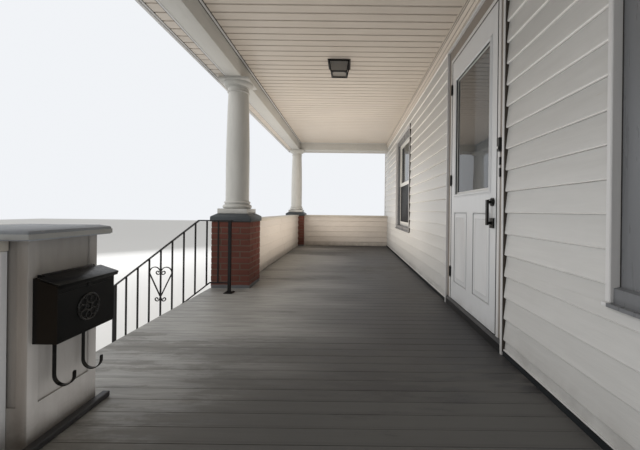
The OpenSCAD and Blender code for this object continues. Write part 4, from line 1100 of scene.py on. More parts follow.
class PORCH_OT_shingles(Operator):
    """Shingles, hip caps, drip edge and flashing of the roof"""
    bl_idname = "porch.shingles"
    bl_label = "Shingles"

    def execute(self, context):
        sizes = context.scene.porch_sizes
        edge_x, edge_y = ROOF_HIGH.x, ROOF_LOW.y
        run = WALL_FACE - edge_y
        eave = ROOF_LOW.z + ROOF_THICK
        climb = run * math.sqrt(1 + PITCH * PITCH)
        place = slope_matrix(Vector((-edge_x, edge_y, eave)), Vector((1, 0, 0)),
                             Vector((0.0, 1.0, PITCH)).normalized())
        bm = self.slope(place, 2 * edge_x, climb, sizes, 21)
        for side in SIDES:
            cut_away(bm, (side * edge_x, edge_y, 0), (side, 1, 0))
        piece("shingles_front", bm, "shingle")
        place = slope_matrix(Vector((edge_x, edge_y, eave)), Vector((0, 1, 0)),
                             Vector((-1.0, 0.0, PITCH)).normalized())
        for side, name in ((1, "near"), (-1, "far")):
            bm = self.slope(place, run, climb, sizes, 30 + side)
            cut_away(bm, (edge_x, edge_y, 0), (-1, -1, 0))
            cut_away(bm, (0, WALL_FACE, 0), (0, 1, 0))
            if side < 0:
                bmesh.ops.scale(bm, vec=(-1.0, 1.0, 1.0), verts=bm.verts)
            piece("shingles_" + name, bm, "shingle")
        self.hips(edge_x, edge_y, eave, run)
        self.flashing(edge_x, edge_y, eave, run)
        return {"FINISHED"}

    def slope(self, place, width, height, sizes, seed):
        """Overlapping courses of tabs, thick at the butt."""
        chance = random.Random(seed)
        bm = start()
        for row in range(int(height / sizes.shingle) + 1):
            v0 = row * sizes.shingle
            v1 = min(v0 + sizes.shingle + UNDER_NEXT, height)
            u = -chance.uniform(0.0, sizes.tab)
            while u < width:
                whole = chance.random() < WHOLE_TABS
                wide = sizes.tab if whole else sizes.tab * chance.uniform(0.5, 0.8)
                drop = chance.uniform(0.0, 0.004)
                thick = chance.choice(TAB_THICK)
                a, b = max(u + 0.003, 0.0), min(u + wide, width)
                if b - a > 0.01 and v1 > v0 + 0.01:
                    verts = block(bm, (a, v0 + drop, 0.0), (b, v1, thick), chance.random())
                    top = [v for v in verts if v.co.z > thick / 2 and v.co.y > v0 + 0.05]
                    bmesh.ops.translate(bm, verts=top, vec=(0.0, 0.0, 0.002 - thick))
                u += wide
        bmesh.ops.transform(bm, matrix=place, verts=bm.verts)
        return bm

    def hips(self, edge_x, edge_y, eave, run):
        """Folded cap shingles up both hips."""
        across = Vector((1, 1, 0)).normalized()
        up = Vector((-1, 1, PITCH)).normalized()
        chance = random.Random(9)
        bm = start()
        length_up = run * math.sqrt(2 + PITCH * PITCH)
        step, lift, half, thick = 0.135, 0.015, 0.125, 0.006
        edge = lift - half * (PITCH / math.sqrt(2))
        outline = [(-half, edge), (0.0, lift), (half, edge), (half, edge - thick),
                   (0.0, lift - thick), (-half, edge - thick)]
        for n in range(int(length_up / step)):
            verts = bar(bm, outline, 0.0, min(0.27, length_up - n * step), "Y", chance.random())
            far = [v for v in verts if v.co.y > 0.1]
            bmesh.ops.translate(bm, verts=far, vec=(0.0, 0.0, -0.009))
            foot = Vector((edge_x, edge_y, eave)) + up * (n * step)
            bmesh.ops.transform(bm, matrix=slope_matrix(foot, across, up), verts=verts)
        cut_away(bm, (0, WALL_FACE, 0), (0, 1, 0))
        twin = bmesh.ops.duplicate(bm, geom=bm.verts[:] + bm.edges[:] + bm.faces[:])["geom"]
        bmesh.ops.scale(bm, vec=(-1.0, 1.0, 1.0),
                        verts=[g for g in twin if isinstance(g, bmesh.types.BMVert)])
        piece("hip_caps", bm, "shingle")

    def flashing(self, edge_x, edge_y, eave, run):
        """Metal at the roof's edge and where the roof meets the siding."""
        bm = start()
        top, flat = eave + PITCH * run, edge_x - run
        thick, deep, step = 0.002, 0.10, 0.14
        front = WALL_FACE - thick
        bar(bm, [(WALL_FACE - deep, top - deep * PITCH + 0.012), (front, top + 0.014),
                 (front, top + 0.09), (WALL_FACE, top + 0.09), (WALL_FACE, top - 0.005),
                 (WALL_FACE - deep, top - deep * PITCH + 0.010)], -flat, flat, "X")
        for side in SIDES:
            for n in range(int(run / step)):
                x = edge_x - n * step
                z = eave + PITCH * (edge_x - x)
                block(bm, (side * x, front, z), (side * (x - 0.19), WALL_FACE, z + 0.10))
        piece("wall_flashing", bm, "flashing_metal")
        z0, z1 = eave - 0.050, eave + 0.001
        drip = [((-edge_x - thick, edge_y - thick, z0), (edge_x + thick, edge_y, z1))]
        drip += [((side * edge_x, edge_y, z0), (side * (edge_x + thick), WALL_FACE, z1))
                 for side in SIDES]
        piece("drip_edge", blocks(drip), "gutter_metal")


# Columns
def bead(r, z, size):
    """Half round of a turned outline."""
    turns = [-math.pi / 2 + math.pi * k / 6 for k in range(7)]
    return [(r + size * math.cos(turn), z + size * math.sin(turn)) for turn in turns]


class PORCH_OT_columns(Operator):
    """Turned columns: plinth, rounded base, tapered shaft, neck ring and capital"""
    bl_idname = "porch.columns"
    bl_label = "Columns"

    def execute(self, context):
        plinth, abacus = 0.050, 0.027
        for node in ("column_far", "column_middle", "column_near"):
            low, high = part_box(node)
            x, y = (low.x + high.x) / 2, (low.y + high.y) / 2
            bm = start()
            for half, z0, z1 in ((0.150, low.z, low.z + plinth),
                                 ((high.x - low.x) / 2, high.z - abacus, high.z)):
                block(bm, (x - half, y - half, z0), (x + half, y + half, z1))
            round_edges(bm, 0.004, steps=2)
            turned(bm, self.outline(low.z + plinth, high.z - abacus), (x, y), steps=48)
            made = piece(node + "_turned", bm, "column_paint", smooth=0.6)
            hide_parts(node)
        return {"FINISHED"}

    def outline(self, foot, top):
        """Half section of the turned part, from the plinth to the abacus."""
        shaft = foot + 0.080 + 0.010
        neck = top - 0.103
        wide, narrow, curve = 0.1175, 0.0155, 0.038
        points = [(0.0, foot), (0.124, foot), *bead(0.124, foot + 0.022, 0.022),
                  (0.126, foot + 0.046), (0.126, foot + 0.052), *bead(0.120, foot + 0.064, 0.012),
                  (0.1195, foot + 0.078), (wide, shaft)]
        for k in range(1, 25):
            taper = max(0.0, k / 24 - 0.33) / 0.67
            points.append((wide - narrow * taper ** 1.6, shaft + k / 24 * (neck - shaft)))
        points += [*bead(0.102, neck + 0.010, 0.010), (0.103, neck + 0.022), (0.103, neck + 0.052),
                   (0.110, neck + 0.054), (0.110, neck + 0.060)]
        for k in range(9):
            turn = math.pi / 2 * k / 8
            points.append((0.112 + curve * math.sin(turn), neck + 0.062 + curve * (1 - math.cos(turn))))
        return points + [(0.150, top), (0.0, top)]


# Newel pier, caps and beams, with the frieze's outline and the heights of its quirks, which are darkened as
# painted shade
FRIEZE = ((0.0, 0.0005), (0.016, 0.0005), (0.016, 0.009), (0.0115, 0.0095), (0.0115, 0.0135),
          (0.016, 0.014), (0.016, 0.022), (0.024, 0.030), (0.027, 0.038), (0.0215, 0.0395),
          (0.0230, 0.0435), (0.0285, 0.045), (0.035, 0.062), (0.042, 0.071), (0.036, 0.073),
          (0.0375, 0.077), (0.045, 0.0785), (0.051, 0.081), (0.051, 0.083), (0.058, 0.0835),
          (0.058, 0.0998), (0.0, 0.0998))
FRIEZE_SHADED_QUIRKS = ((0.0085, 0.0145), (0.0380, 0.0455), (0.0705, 0.0790), (0.0815, 0.0836))


class PORCH_OT_caps_and_beams(Operator):
    """Pier caps, low wall caps, beams and newel pier with eased edges, and the newel's trim"""
    bl_idname = "porch.caps_and_beams"
    bl_label = "Caps, beams and newel pier"

    def execute(self, context):
        for node, material, size in (
                ("pier_caps", "cap_paint", 0.006), ("newel_pier_cap", "newel_cap_paint", 0.005),
                ("newel_pier", "newel_paint", 0.002), ("low_wall_caps", "low_cap_paint", 0.004),
                ("beam_front", "beam_paint", 0.002), ("beam_end_far", "beam_paint", 0.002),
                ("beam_end_near", "beam_paint", 0.002), ("stair_treads", "tread_boards", 0.008),
                ("fascia", "fascia_paint", 0.002)):
            softened(node, material, size)
        self.frieze()
        low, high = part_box("newel_pier_cap")
        thick = 0.0012
        rim = [((a[0], a[1], low.z + 0.004), (b[0], b[1], low.z + 0.021)) for a, b in (
            ((low.x - thick, low.y - thick), (high.x + thick, low.y)),
            ((low.x - thick, high.y), (high.x + thick, high.y + thick)),
            ((low.x - thick, low.y), (low.x, high.y)), ((high.x, low.y), (high.x + thick, high.y)))]
        piece("newel_cap_flashing", blocks(rim), "flashing_metal")
        foot = ((NEWEL_LOW.x - 0.040, NEWEL_HIGH.y, DECK + 0.0005),
                (NEWEL_HIGH.x + 0.020, NEWEL_HIGH.y + 0.030, DECK + 0.022))
        piece("newel_foot_board", blocks([foot], 0.004, 2), "riser_paint")
        return {"FINISHED"}

    def frieze(self):
        """The moulding under the ceiling, with painted shade in its quirks."""
        low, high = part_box("frieze_moulding")
        bm = start()
        bar(bm, [(WALL_FACE - out, low.z + up) for out, up in FRIEZE], low.x, high.x, "X")
        layer = bm.faces.layers.float["tone"]
        for face in bm.faces:
            up = face.calc_center_median().z - low.z
            if any(a < up < b for a, b in FRIEZE_SHADED_QUIRKS) and abs(face.normal.x) < 0.5:
                face[layer] = 1.0
        made = piece("frieze", bm, "frieze_paint")
        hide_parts("frieze_moulding")


# Outlines of the door's and the windows' mouldings: how far out, and how far behind the face
TRIM_NOSE = ((0.0004, 0.001), (0.0004, -0.0012), (0.0035, -0.0035), (0.0165, -0.0035),
             (0.0196, -0.0012), (0.0196, 0.001))
GLAZING_FRONT = ((0.0, 0.010), (0.0, -0.001), (0.004, -0.006), (0.010, -0.009), (0.016, -0.0088),
                 (0.019, -0.005), (0.0245, -0.0035), (0.026, 0.0005), (0.026, 0.001))
GLAZING_BACK = ((0.0, -0.012), (0.0, 0.002), (0.010, 0.009), (0.019, 0.006), (0.026, 0.0))
LEAF_SEAL = ((0.0, 0.006), (0.0, -0.0006), (0.006, -0.0012), (0.0085, 0.0006))
WINDOW_SEAL = ((-0.0055, 0.001), (-0.0055, -0.0008), (-0.0005, -0.0008), (-0.0005, 0.001))
GLAZING_BEAD = ((0.0, -0.0005), (-0.009, 0.010), (-0.009, 0.0125), (0.0, 0.0125))
SASH_EDGE = ((-0.001, 0.0005), (-0.001, -0.0035), (-0.008, -0.0035), (-0.010, 0.0005))
SCREEN_FRAME = ((0.0, 0.001), (0.002, -0.002), (0.020, -0.002), (0.022, 0.001), (0.022, 0.010),
                (0.0, 0.010))
# Steps of a raised panel from its border inwards: width, rise and tone; the tone darkens the step as
# painted shade
PANEL_STEPS = ((0.0035, 0.0, 0.0), (0.005, -0.0078, 1.0), (0.009, -0.0002, 0.25),
               (0.005, 0.0044, 0.9), (0.020, 0.0030, 0.1), (0.003, -0.0012, 0.5))


# Door
class PORCH_OT_door_details(Operator):
    """Raised panels, glazing frame, weather strip and fittings of the door"""
    bl_idname = "porch.door_details"
    bl_label = "Door details"

    def execute(self, context):
        self.panels()
        self.glazing_frame()
        low, high = LEAF_LOW, LEAF_HIGH
        sweep = [((low.x + 0.004, low.y + 0.006, low.z - 0.0035), (high.x - 0.004, high.y - 0.006, low.z))]
        piece("door_sweep", blocks(sweep), "rubber", DOOR)
        self.latch()
        self.hinge_tips()
        self.frame_trim()
        self.weather_strip()
        return {"FINISHED"}

    def panels(self):
        """Two sunk borders with raised fields, inset step by step from one face, each step darkened by
        painted shade.
        """
        bm = start()
        middle, face, ease = (LEAF_LOW.x + LEAF_HIGH.x) / 2, LEAF_LOW.y, 0.0005
        foot, top, wide = LEAF_LOW.z + 0.142, LEAF_LOW.z + 0.710, 0.272
        for x in (middle - 0.329, middle + 0.057):
            verts = block(bm, (x + ease, face - 0.0025, foot + ease),
                          (x + wide - ease, face + 0.0055, top - ease))
            front = min({f for v in verts for f in v.link_faces},
                        key=lambda f: f.calc_center_median().y)
            layer = bm.faces.layers.float["tone"]
            for thick, depth, tone in PANEL_STEPS:
                rim = bmesh.ops.inset_region(bm, faces=[front], thickness=thick, depth=depth,
                                             use_even_offset=True)["faces"]
                for side in rim:
                    side[layer] = tone
        piece("door_raised_panels", bm, "door_paint", DOOR, smooth=0.5)

    def glazing_frame(self):
        """Moulded frame round the glass on both faces, and the seals of the pane."""
        rect = (GLASS_LOW.x, GLASS_HIGH.x, GLASS_LOW.z, GLASS_HIGH.z)
        face = LEAF_LOW.y
        bm = start()
        frame_moulding(bm, rect, face, GLAZING_FRONT)
        frame_moulding(bm, rect, face + 0.045, GLAZING_BACK)
        made = piece("door_glazing_frame", bm, "door_paint", DOOR, smooth=0.5)
        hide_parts("door_lite_frame")
        bm = start()
        for y0, y1 in ((0.0102, 0.0119), (0.0301, 0.0318)):
            frame_moulding(bm, rect, face, ((-0.013, y0), (-0.013, y1), (0.0, y1), (0.0, y0)))
        piece("door_glass_gasket", bm, "sash_vinyl", DOOR)

    def latch(self):
        """Key cylinders, thumb piece and screws over the CAD handle."""
        x, face = HANDLE_X, LEAF_LOW.y
        rose = face - 0.0095
        bm = start()
        rod(bm, (x, rose, LATCH_Z), (x, face - 0.0135, LATCH_Z), 0.021, 24, 0.018)
        rod(bm, (x, rose, GRIP_Z), (x, face - 0.012, GRIP_Z), 0.014, 24, 0.012)
        eased_block(bm, (x - 0.011, face - 0.027, LATCH_Z + 0.0125),
                    (x + 0.011, face - 0.010, LATCH_Z + 0.0155), 0.001, 2)
        for z in (GRIP_Z - 0.021, GRIP_Z + 0.021):
            rod(bm, (x, rose, z), (x, face - 0.0112, z), 0.0032, 10)
        piece("door_latch_details", bm, "black_metal", DOOR, smooth=0.6)

    def hinge_tips(self):
        """Pin ends and joints of the three hinges."""
        bm = start()
        x, y, from_end = LEAF_LOW.x - 0.0025, LEAF_LOW.y - 0.0074, 0.218
        for z in (LEAF_LOW.z + from_end, (LEAF_LOW.z + LEAF_HIGH.z) / 2, LEAF_HIGH.z - from_end):
            for end in SIDES:
                rod(bm, (x, y, z + end * 0.0405), (x, y, z + end * 0.0465), 0.0046, 12, 0.0028)
            for lap in (-0.022, -0.0075, 0.0075, 0.022):
                rod(bm, (x, y, z + lap - 0.0006), (x, y, z + lap + 0.0006), 0.00725, 20)
        piece("hinge_tips", bm, "black_metal", DOOR, smooth=0.6)

    def frame_trim(self):
        """Rounded face of the edge trim, faces of the casing and the two plates on it."""
        bm = start()
        left, right, head = FRAME_LOW.x + TRIM, FRAME_HIGH.x - TRIM, FRAME_HIGH.z - TRIM
        frame_moulding(bm, (left, right, DECK - 0.05, head), TRIM_FACE, TRIM_NOSE)
        cut_away(bm, (0.0, 0.0, DECK + 0.0005), DOWN)
        piece("door_trim_face", bm, "trim_paint", smooth=0.5)
        jamb = 0.036
        x0, x1 = LEAF_LOW.x - DOOR_GAP - jamb, LEAF_HIGH.x + DOOR_GAP + jamb
        top = LEAF_HIGH.z + DOOR_GAP + jamb
        y0, y1 = WALL_FACE - 0.0046, WALL_FACE - 0.003
        casing = [((left, y0, STRIP_FOOT), (x0, y1, top)), ((x1, y0, STRIP_FOOT), (right, y1, top)),
                  ((left, y0, top), (right, y1, head))]
        piece("door_casing_face", blocks(casing), "casing_paint")
        x = LEAF_HIGH.x + 0.048
        plates = [((x - 0.007, y0 - 0.0085, LEAF_LOW.z + low), (x + 0.007, y0 + 0.0005, LEAF_LOW.z + high))
                  for low, high in ((0.913, 0.964), (0.981, 1.026))]
        piece("casing_plates", blocks(plates, 0.0008), "black_metal")

    def weather_strip(self):
        """Seal round the leaf, on the front and at the back."""
        bm = start()
        x0, x1 = LEAF_LOW.x - DOOR_GAP, LEAF_HIGH.x + DOOR_GAP
        frame_moulding(bm, (x0, x1, STRIP_FOOT, LEAF_HIGH.z + DOOR_GAP), LEAF_LOW.y, LEAF_SEAL)
        cut_away(bm, (0.0, 0.0, STRIP_FOOT + 0.001), DOWN)
        y = LEAF_HIGH.y + 0.0022
        for side, x in ((1, x0), (-1, x1)):
            block(bm, (x + side * 0.0005, y, STRIP_FOOT),
                  (x + side * 0.011, y + 0.0026, LEAF_HIGH.z - 0.01))
        piece("door_weather_strip", bm, "rubber")


# Windows
class PORCH_OT_window_details(Operator):
    """Back bands, glazing beads, insect screens, sash locks and the sill's drip edge"""
    bl_idname = "porch.window_details"
    bl_label = "Window details"

    def execute(self, context):
        middle = sum(WINDOW_Z) / 2
        for name, part, material, smooth in (
                ("window_seals", self.seal, "rubber", None),
                ("window_ledges", self.ledge, "trim_paint", 0.5),
                ("window_trim_face", self.trim, "trim_paint", 0.5),
                ("window_beads", self.beads, "sash_vinyl", 0.5),
                ("window_screens", self.screen, "screen", None),
                ("sash_locks", self.locks, "sash_vinyl", 0.6)):
            bm = start()
            for x in WINDOW_XS:
                part(bm, x, middle)
            if part == self.trim:
                cut_away(bm, (0.0, 0.0, WINDOW_FOOT + 0.0005), DOWN)
            if part == self.seal:
                cut_away(bm, (0.0, 0.0, WINDOW_Z[0] - 0.001), DOWN)
            piece(name, bm, material, smooth=smooth)
        return {"FINISHED"}

    def outer(self, x):
        """The outside of a window frame; its foot is cut off later."""
        return (x - WINDOW_OUT, x + WINDOW_OUT, WINDOW_FOOT - 0.05, WINDOW_HEAD)

    def trim(self, bm, x, middle):
        """The rounded face of the edge trim."""
        frame_moulding(bm, self.outer(x), TRIM_FACE, TRIM_NOSE)

    def seal(self, bm, x, middle):
        """A line of sealant inside the trim."""
        frame_moulding(bm, self.outer(x), FRAME_FACE, WINDOW_SEAL)

    def ledge(self, bm, x, middle):
        """Ends of the sill and the return of the trim."""
        for side in SIDES:
            eased_block(bm, (x + side * (WINDOW_OUT - 0.001), WALL_FACE - 0.0365,
                             WINDOW_FOOT - WINDOW_LEDGE - 0.0008),
                        (x + side * (WINDOW_OUT + TRIM - 0.001), WALL_FACE - 0.015,
                         WINDOW_FOOT + 0.0008), 0.002, 2)
            block(bm, (x + side * (WINDOW_OUT - 0.0009), TRIM_FACE, WINDOW_FOOT + 0.001),
                  (x + side * (WINDOW_OUT + 0.0005), FRAME_FACE, WINDOW_HEAD))
        block(bm, (x - WINDOW_OUT, TRIM_FACE, WINDOW_HEAD - 0.0009),
              (x + WINDOW_OUT, FRAME_FACE, WINDOW_HEAD + 0.0005))

    def beads(self, bm, x, middle):
        """Glazing beads, edges of the sashes and the frame and foot of the screen."""
        side = WINDOW_HALF - SASH
        for z0, z1, face in ((middle - SASH / 2, WINDOW_Z[1], SASH_FACE),
                             (WINDOW_Z[0], middle + SASH / 2, SASH_FACE + 0.033)):
            pane = (x - side, x + side, z0 + SASH, z1 - SASH)
            sash = (pane[0] - SASH, pane[1] + SASH, pane[2] - SASH, pane[3] + SASH)
            frame_moulding(bm, pane, face, GLAZING_BEAD)
            frame_moulding(bm, sash, face, SASH_EDGE)
        frame_moulding(bm, self.cloth(x, middle), SCREEN_FACE, SCREEN_FRAME)
        block(bm, (x - WINDOW_HALF + 0.003, SCREEN_FACE, WINDOW_Z[0] + 0.001),
              (x + WINDOW_HALF - 0.003, SCREEN_FACE + 0.010, WINDOW_Z[0] + 0.044))

    def cloth(self, x, middle):
        """The rectangle of a screen."""
        half = WINDOW_HALF
        return (x - half + 0.024, x + half - 0.024, WINDOW_Z[0] + 0.062, middle - SASH / 2 - 0.004)

    def screen(self, bm, x, middle):
        """The cloth of a screen."""
        x0, x1, z0, z1 = self.cloth(x, middle)
        block(bm, (x0, SCREEN_FACE + 0.004, z0), (x1, SCREEN_FACE + 0.0048, z1))

    def locks(self, bm, x, middle):
        """Two sash locks on the meeting rail."""
        z = middle + SASH / 2
        for lock in (x - 0.20, x + 0.20):
            eased_block(bm, (lock - 0.028, SASH_FACE + 0.067, z),
                        (lock + 0.028, SASH_FACE + 0.092, z + 0.010), 0.003, 2)
            rod(bm, (lock, SASH_FACE + 0.079, z + 0.009), (lock, SASH_FACE + 0.079, z + 0.019), 0.008,
                16, 0.006)


# Mailbox, lantern and doorbell
class PORCH_OT_mailbox_details(Operator):
    """Round open-work motif, latch mark, folded rim and rivets of the mailbox"""
    bl_idname = "porch.mailbox_details"
    bl_label = "Mailbox details"

    def execute(self, context):
        x, face, z = (MAIL_LOW.x + MAIL_HIGH.x) / 2, MAIL_HIGH.y, MAIL_LOW.z + 0.088
        latch, half = z + 0.078, 0.123
        self.rosette(x, face, z)
        bm = start()
        rod(bm, (x, face - 0.001, latch), (x, face + 0.003, latch), 0.009, 20, 0.008)
        eased_block(bm, (x - 0.002, face + 0.001, z + 0.070), (x + 0.002, face + 0.0035, z + 0.086), 0.0006)
        piece("mailbox_latch", bm, "black_metal", smooth=0.6)
        bm = start()
        for level in (MAIL_LOW.z + 0.004, MAIL_LOW.z + 0.160):
            eased_block(bm, (x - half, face - 0.0005, level), (x + half, face + 0.0015, level + 0.005),
                        0.0006)
        piece("mailbox_seams", bm, "mailbox_paint")
        softened("mailbox_lid", "mailbox_paint", 0.0006, LID)
        self.rivets()
        return {"FINISHED"}

    def rosette(self, x, face, z):
        """Two hoops, a ring of eight small ones between them, and a boss."""
        bm = start()
        for radius, thick in ((0.046, 0.0032), (0.013, 0.0026)):
            self.hoop(bm, Vector((x, face, z)), radius, thick)
        ring, small = 0.0295, 0.0128
        for k in range(8):
            turn = math.tau * k / 8
            heart = Vector((x + ring * math.cos(turn), face, z + ring * math.sin(turn)))
            self.hoop(bm, heart, small, 0.0019, steps=18)
        rod(bm, (x, face - 0.001, z), (x, face + 0.004, z), 0.006, 16, 0.004)
        piece("mailbox_rosette", bm, "rosette_metal", smooth=0.8)

    def hoop(self, bm, centre, radius, thick, steps=32):
        """A ring of round bar, flat on the mailbox front."""
        middle = Matrix.Translation(centre + Vector((radius, thick * 0.6, 0.0)))
        section = bmesh.ops.create_circle(bm, segments=8, radius=thick, cap_ends=False,
                                          matrix=middle)["verts"]
        edges = list({e for v in section for e in v.link_edges})
        bmesh.ops.spin(bm, geom=section + edges, cent=centre, axis=(0.0, 1.0, 0.0), angle=math.tau,
                       steps=steps, use_merge=True)
        bmesh.ops.remove_doubles(bm, verts=bm.verts, dist=1e-6)

    def rivets(self):
        """Rivets and tips of the newspaper hooks."""
        bm = start()
        low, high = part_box("newspaper_hooks")
        for x in (low.x + 0.0065, high.x - 0.0065):
            for z in (high.z - 0.010, high.z - 0.026):
                rod(bm, (x, low.y + 0.0025, z), (x, low.y + 0.0055, z), 0.0028, 10)
            rod(bm, (x, high.y, low.z + 0.046), (x, high.y - 0.003, low.z + 0.046), 0.0065, 16)
        piece("hook_rivets", bm, "black_metal", smooth=0.6)


class PORCH_OT_small_fittings(Operator):
    """Screws and beads of the lantern, the doorbell button and the railing's fixings and curls"""
    bl_idname = "porch.small_fittings"
    bl_label = "Lantern, doorbell and railing fittings"

    def execute(self, context):
        low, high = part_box("ceiling_light")
        bm = start()
        eased_block(bm, (low.x - 0.003, low.y - 0.003, high.z - 0.004),
                    (high.x + 0.003, high.y + 0.003, high.z - 0.0005), 0.0012)
        self.corners(bm, (low.x + high.x) / 2, (low.y + high.y) / 2, 0.062,
                     (low.z - 0.002, low.z + 0.003), 0.0055, 14)
        piece("lantern_fittings", bm, "black_metal", smooth=0.6)
        low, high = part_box("doorbell")
        x, z = (low.x + high.x) / 2, low.z + 0.020
        bm = start()
        rod(bm, (x, low.y + 0.001, z), (x, low.y - 0.002, z), 0.0075, 24, 0.006)
        piece("doorbell_button", bm, "sash_vinyl", smooth=0.6)
        low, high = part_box("stair_railing")
        x = (low.x + high.x) / 2
        bm = start()
        for y, z in ((0.058, DECK + 0.006), (-1.012, 0.006)):
            self.corners(bm, x, y, 0.028, (z - 0.001, z + 0.006), 0.0062, 6)
        piece("railing_bolts", bm, "iron_paint")
        bm = start()
        for side in SIDES:
            self.curl(bm, (x, side * 0.02281, DECK + 0.1825), 0.01881, 350, 190, side)
            self.curl(bm, (x, side * -0.02998, DECK - 0.06603), 0.019, -175, -200, side)
        piece("railing_curls", bm, "iron_paint", smooth=0.6)
        return {"FINISHED"}

    def corners(self, bm, x, y, out, levels, radius, steps):
        """Four screw or bolt heads at the corners of a square."""
        for dx in (-out, out):
            for dy in (-out, out):
                rod(bm, (x + dx, y + dy, levels[0]), (x + dx, y + dy, levels[1]), radius, steps)

    def curl(self, bm, middle, outer, first, sweep, side):
        """A square strand that goes on from the end of a scroll and winds inwards."""
        x, y, z = middle
        radius, half, steps = 0.0125, RAIL_BAR / 2, 14
        turn = math.radians(first)
        spoke = Vector((0.0, side * math.cos(turn), math.sin(turn)))
        away = outer - radius
        centre = Vector((x, y + side * away * math.cos(turn), z + away * math.sin(turn)))
        corners = [centre + spoke * (radius + out) + Vector((across, RAIL_HEART, 0.0))
                   for across, out in ((-half, -half), (half, -half), (half, half), (-half, half))]
        face = bm.faces.new([bm.verts.new(c) for c in corners])
        centre.y += RAIL_HEART
        step = Matrix.Rotation(side * math.radians(sweep) / steps, 3, "X")
        for _ in range(steps):
            grown = bmesh.ops.extrude_face_region(bm, geom=[face])["geom"]
            bmesh.ops.rotate(bm, verts=[g for g in grown if isinstance(g, bmesh.types.BMVert)],
                             cent=centre, matrix=step)
            face = next(g for g in grown if isinstance(g, bmesh.types.BMFace))


# Finishes of the CAD nodes that stay
CAD_FINISHES = {
    "house_foundation": "masonry", "foundation_walls": "masonry", "floor_frame": "low_cap_paint",
    "roof": "roof_boards", "gutter": "gutter_metal", "door_frame": "trim_paint",
    "door_leaf": "door_paint", "door_threshold": "threshold_metal", "door_glass": "door_pane",
    "door_handle": "black_metal", "door_hinges": "black_metal", "doorbell": "black_plastic",
    "window_casings": "window_frame_paint", "window_sashes": "sash_vinyl",
    "window_panes": "window_glass", "ceiling_light": "black_metal",
    "ceiling_light_glass": "lantern_glass", "stair_carriage": "riser_paint",
    "stair_railing": "iron_paint", "mailbox_body": "mailbox_paint", "newspaper_hooks": "black_metal",
}


class PORCH_OT_frame_finishes(Operator):
    """Gives every CAD node a finish: its own where it still shows, plain trim paint elsewhere"""
    bl_idname = "porch.frame_finishes"
    bl_label = "Finishes of the frame"

    def execute(self, context):
        for node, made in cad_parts.items():
            hidden = made.hide_render and node not in CAD_FINISHES
            made.data.materials.clear()
            made.data.materials.append(finish("trim_paint" if hidden else CAD_FINISHES[node]))
        return {"FINISHED"}


# Stage: the camera fitted to the lines of the photograph, and the lamps
CAMERA_AT = (3.383, 1.164, 1.540)
LENS = 18.16
SHIFT = (-0.0444, -0.0223)
ROLL = 0.0119
WHITE = (1.0, 1.0, 1.0)
WARM = (1.0, 0.91, 0.81)
COOL = (0.97, 0.98, 1.0)
# Name of each lamp, its place, what it faces, its size, power and colour
LAMPS = (("key", (5.5, -7.5, 6.5), (0.0, 0.6, 1.2), (5.0, 5.0), 430.0, WHITE),
         ("fill", (-7.0, -6.0, 4.5), (0.0, 0.8, 1.2), (5.0, 5.0), 280.0, WHITE),
         ("floor_glow_far", (-1.7, 0.95, 0.79), (-1.7, 0.95, 3.0), (2.8, 0.7), 44.0, WARM),
         ("floor_glow_near", (2.6, 0.8, 0.79), (2.6, 0.8, 3.0), (2.2, 1.2), 11.0, COOL))


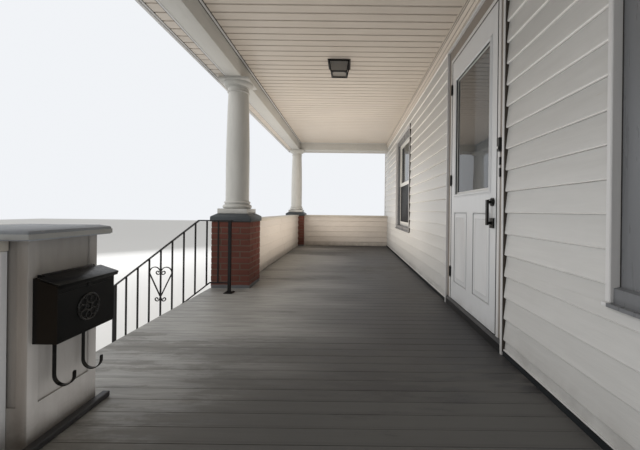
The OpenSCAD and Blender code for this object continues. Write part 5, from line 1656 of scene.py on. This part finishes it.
class PORCH_OT_stage(Operator):
    """Pale floor, soft light and the camera of the photograph"""
    bl_idname = "porch.stage"
    bl_label = "Stage"

    def execute(self, context):
        self.floor(context.scene)
        self.sky(context.scene)
        for values in LAMPS:
            self.lamp(context.scene, *values)
        self.camera(context.scene)
        context.scene.view_settings.view_transform = "Standard"
        return {"FINISHED"}

    def floor(self, scene):
        """A wide pale floor."""
        bm = bmesh.new()
        bmesh.ops.create_grid(bm, x_segments=1, y_segments=1, size=40.0)
        mesh = bpy.data.meshes.new("floor")
        bm.to_mesh(mesh)
        bm.free()
        floor = bpy.data.objects.new("floor", mesh)
        scene.collection.objects.link(floor)
        material, nodes, place, shader = new_material("pale_floor")
        nodes.fill(shader["Base Color"], (0.82, 0.82, 0.81))
        nodes.fill(shader["Roughness"], 0.9)
        mesh.materials.append(material)

    def sky(self, scene):
        """Even light from all round, seen as a paler grey."""
        world = bpy.data.worlds.new("studio")
        scene.world = world
        world.use_nodes = True
        nodes = Nodes(world.node_tree)
        nodes.tree.nodes.clear()
        path = nodes.add("ShaderNodeLightPath").outputs
        seen = nodes.calc("MAXIMUM", path["Is Glossy Ray"], path["Is Transmission Ray"])
        seen = nodes.calc("MAXIMUM", path["Is Camera Ray"], seen)
        soft = nodes.add("ShaderNodeBackground", {"Color": (1.0, 0.99, 0.97), "Strength": 0.60})
        pale = nodes.add("ShaderNodeBackground", {"Color": (0.88, 0.90, 0.93), "Strength": 1.0})
        both = nodes.add("ShaderNodeMixShader", {0: seen, 1: soft.outputs[0], 2: pale.outputs[0]})
        nodes.add("ShaderNodeOutputWorld", {0: both.outputs[0]})

    def lamp(self, scene, name, place, target, size, power, tint):
        """A soft light that faces a point and isn't seen itself."""
        light = bpy.data.lights.new(name, "AREA")
        light.shape = "RECTANGLE"
        light.size, light.size_y = size
        light.energy = power
        light.color = tint
        holder = bpy.data.objects.new(name, light)
        holder.visible_camera = False
        holder.visible_glossy = False
        scene.collection.objects.link(holder)
        turn = (Vector(target) - Vector(place)).to_track_quat("-Z", "Y").to_matrix().to_4x4()
        holder.matrix_world = Matrix.Translation(place) @ turn

    def camera(self, scene):
        """The camera of the photograph, level but for a slight roll."""
        camera = bpy.data.cameras.new("photo_camera")
        camera.lens = LENS
        camera.sensor_width = 36.0
        camera.sensor_fit = "HORIZONTAL"
        camera.shift_x, camera.shift_y = SHIFT
        camera.clip_start = 0.02
        camera.clip_end = 200.0
        holder = bpy.data.objects.new("photo_camera", camera)
        scene.collection.objects.link(holder)
        look = Matrix(((0.0, 0.0, 1.0), (1.0, 0.0, 0.0), (0.0, 1.0, 0.0)))
        turn = look @ Matrix.Rotation(ROLL, 3, "Z")
        holder.matrix_world = Matrix.Translation(CAMERA_AT) @ turn.to_4x4()
        scene.camera = holder


OPERATORS = (
    PORCH_OT_house_siding, PORCH_OT_low_wall_siding, PORCH_OT_siding_channels,
    PORCH_OT_brick_piers, PORCH_OT_deck_boards, PORCH_OT_ceiling_boards, PORCH_OT_shingles,
    PORCH_OT_columns, PORCH_OT_caps_and_beams, PORCH_OT_door_details, PORCH_OT_window_details,
    PORCH_OT_mailbox_details, PORCH_OT_small_fittings, PORCH_OT_frame_finishes, PORCH_OT_stage,
)


class PORCH_PT_panel(Panel):
    """The porch's pieces, sizes and colours"""
    bl_idname = "PORCH_PT_panel"
    bl_label = "Front porch"
    bl_space_type = "VIEW_3D"
    bl_region_type = "UI"
    bl_category = "Porch"

    def draw(self, context):
        layout = self.layout
        for group in (context.scene.porch_sizes, context.scene.porch_colours):
            box = layout.box()
            for name in group.bl_rna.properties.keys():
                if name not in ("rna_type", "name"):
                    box.prop(group, name)
        for made in OPERATORS:
            layout.operator(made.bl_idname)


CLASSES = (PorchSizes, PorchColours, *OPERATORS, PORCH_PT_panel)


def register():
    """Registers the classes and puts the sizes and colours on the scene."""
    for made in CLASSES:
        bpy.utils.register_class(made)
    bpy.types.Scene.porch_sizes = PointerProperty(type=PorchSizes)
    bpy.types.Scene.porch_colours = PointerProperty(type=PorchColours)


def unregister():
    """Takes them off again."""
    del bpy.types.Scene.porch_sizes
    del bpy.types.Scene.porch_colours
    for made in reversed(CLASSES):
        bpy.utils.unregister_class(made)


def main():
    """Builds the whole porch."""
    register()
    for made in OPERATORS:
        family, call = made.bl_idname.split(".")
        getattr(getattr(bpy.ops, family), call)()


if __name__ == "__main__":
    main()
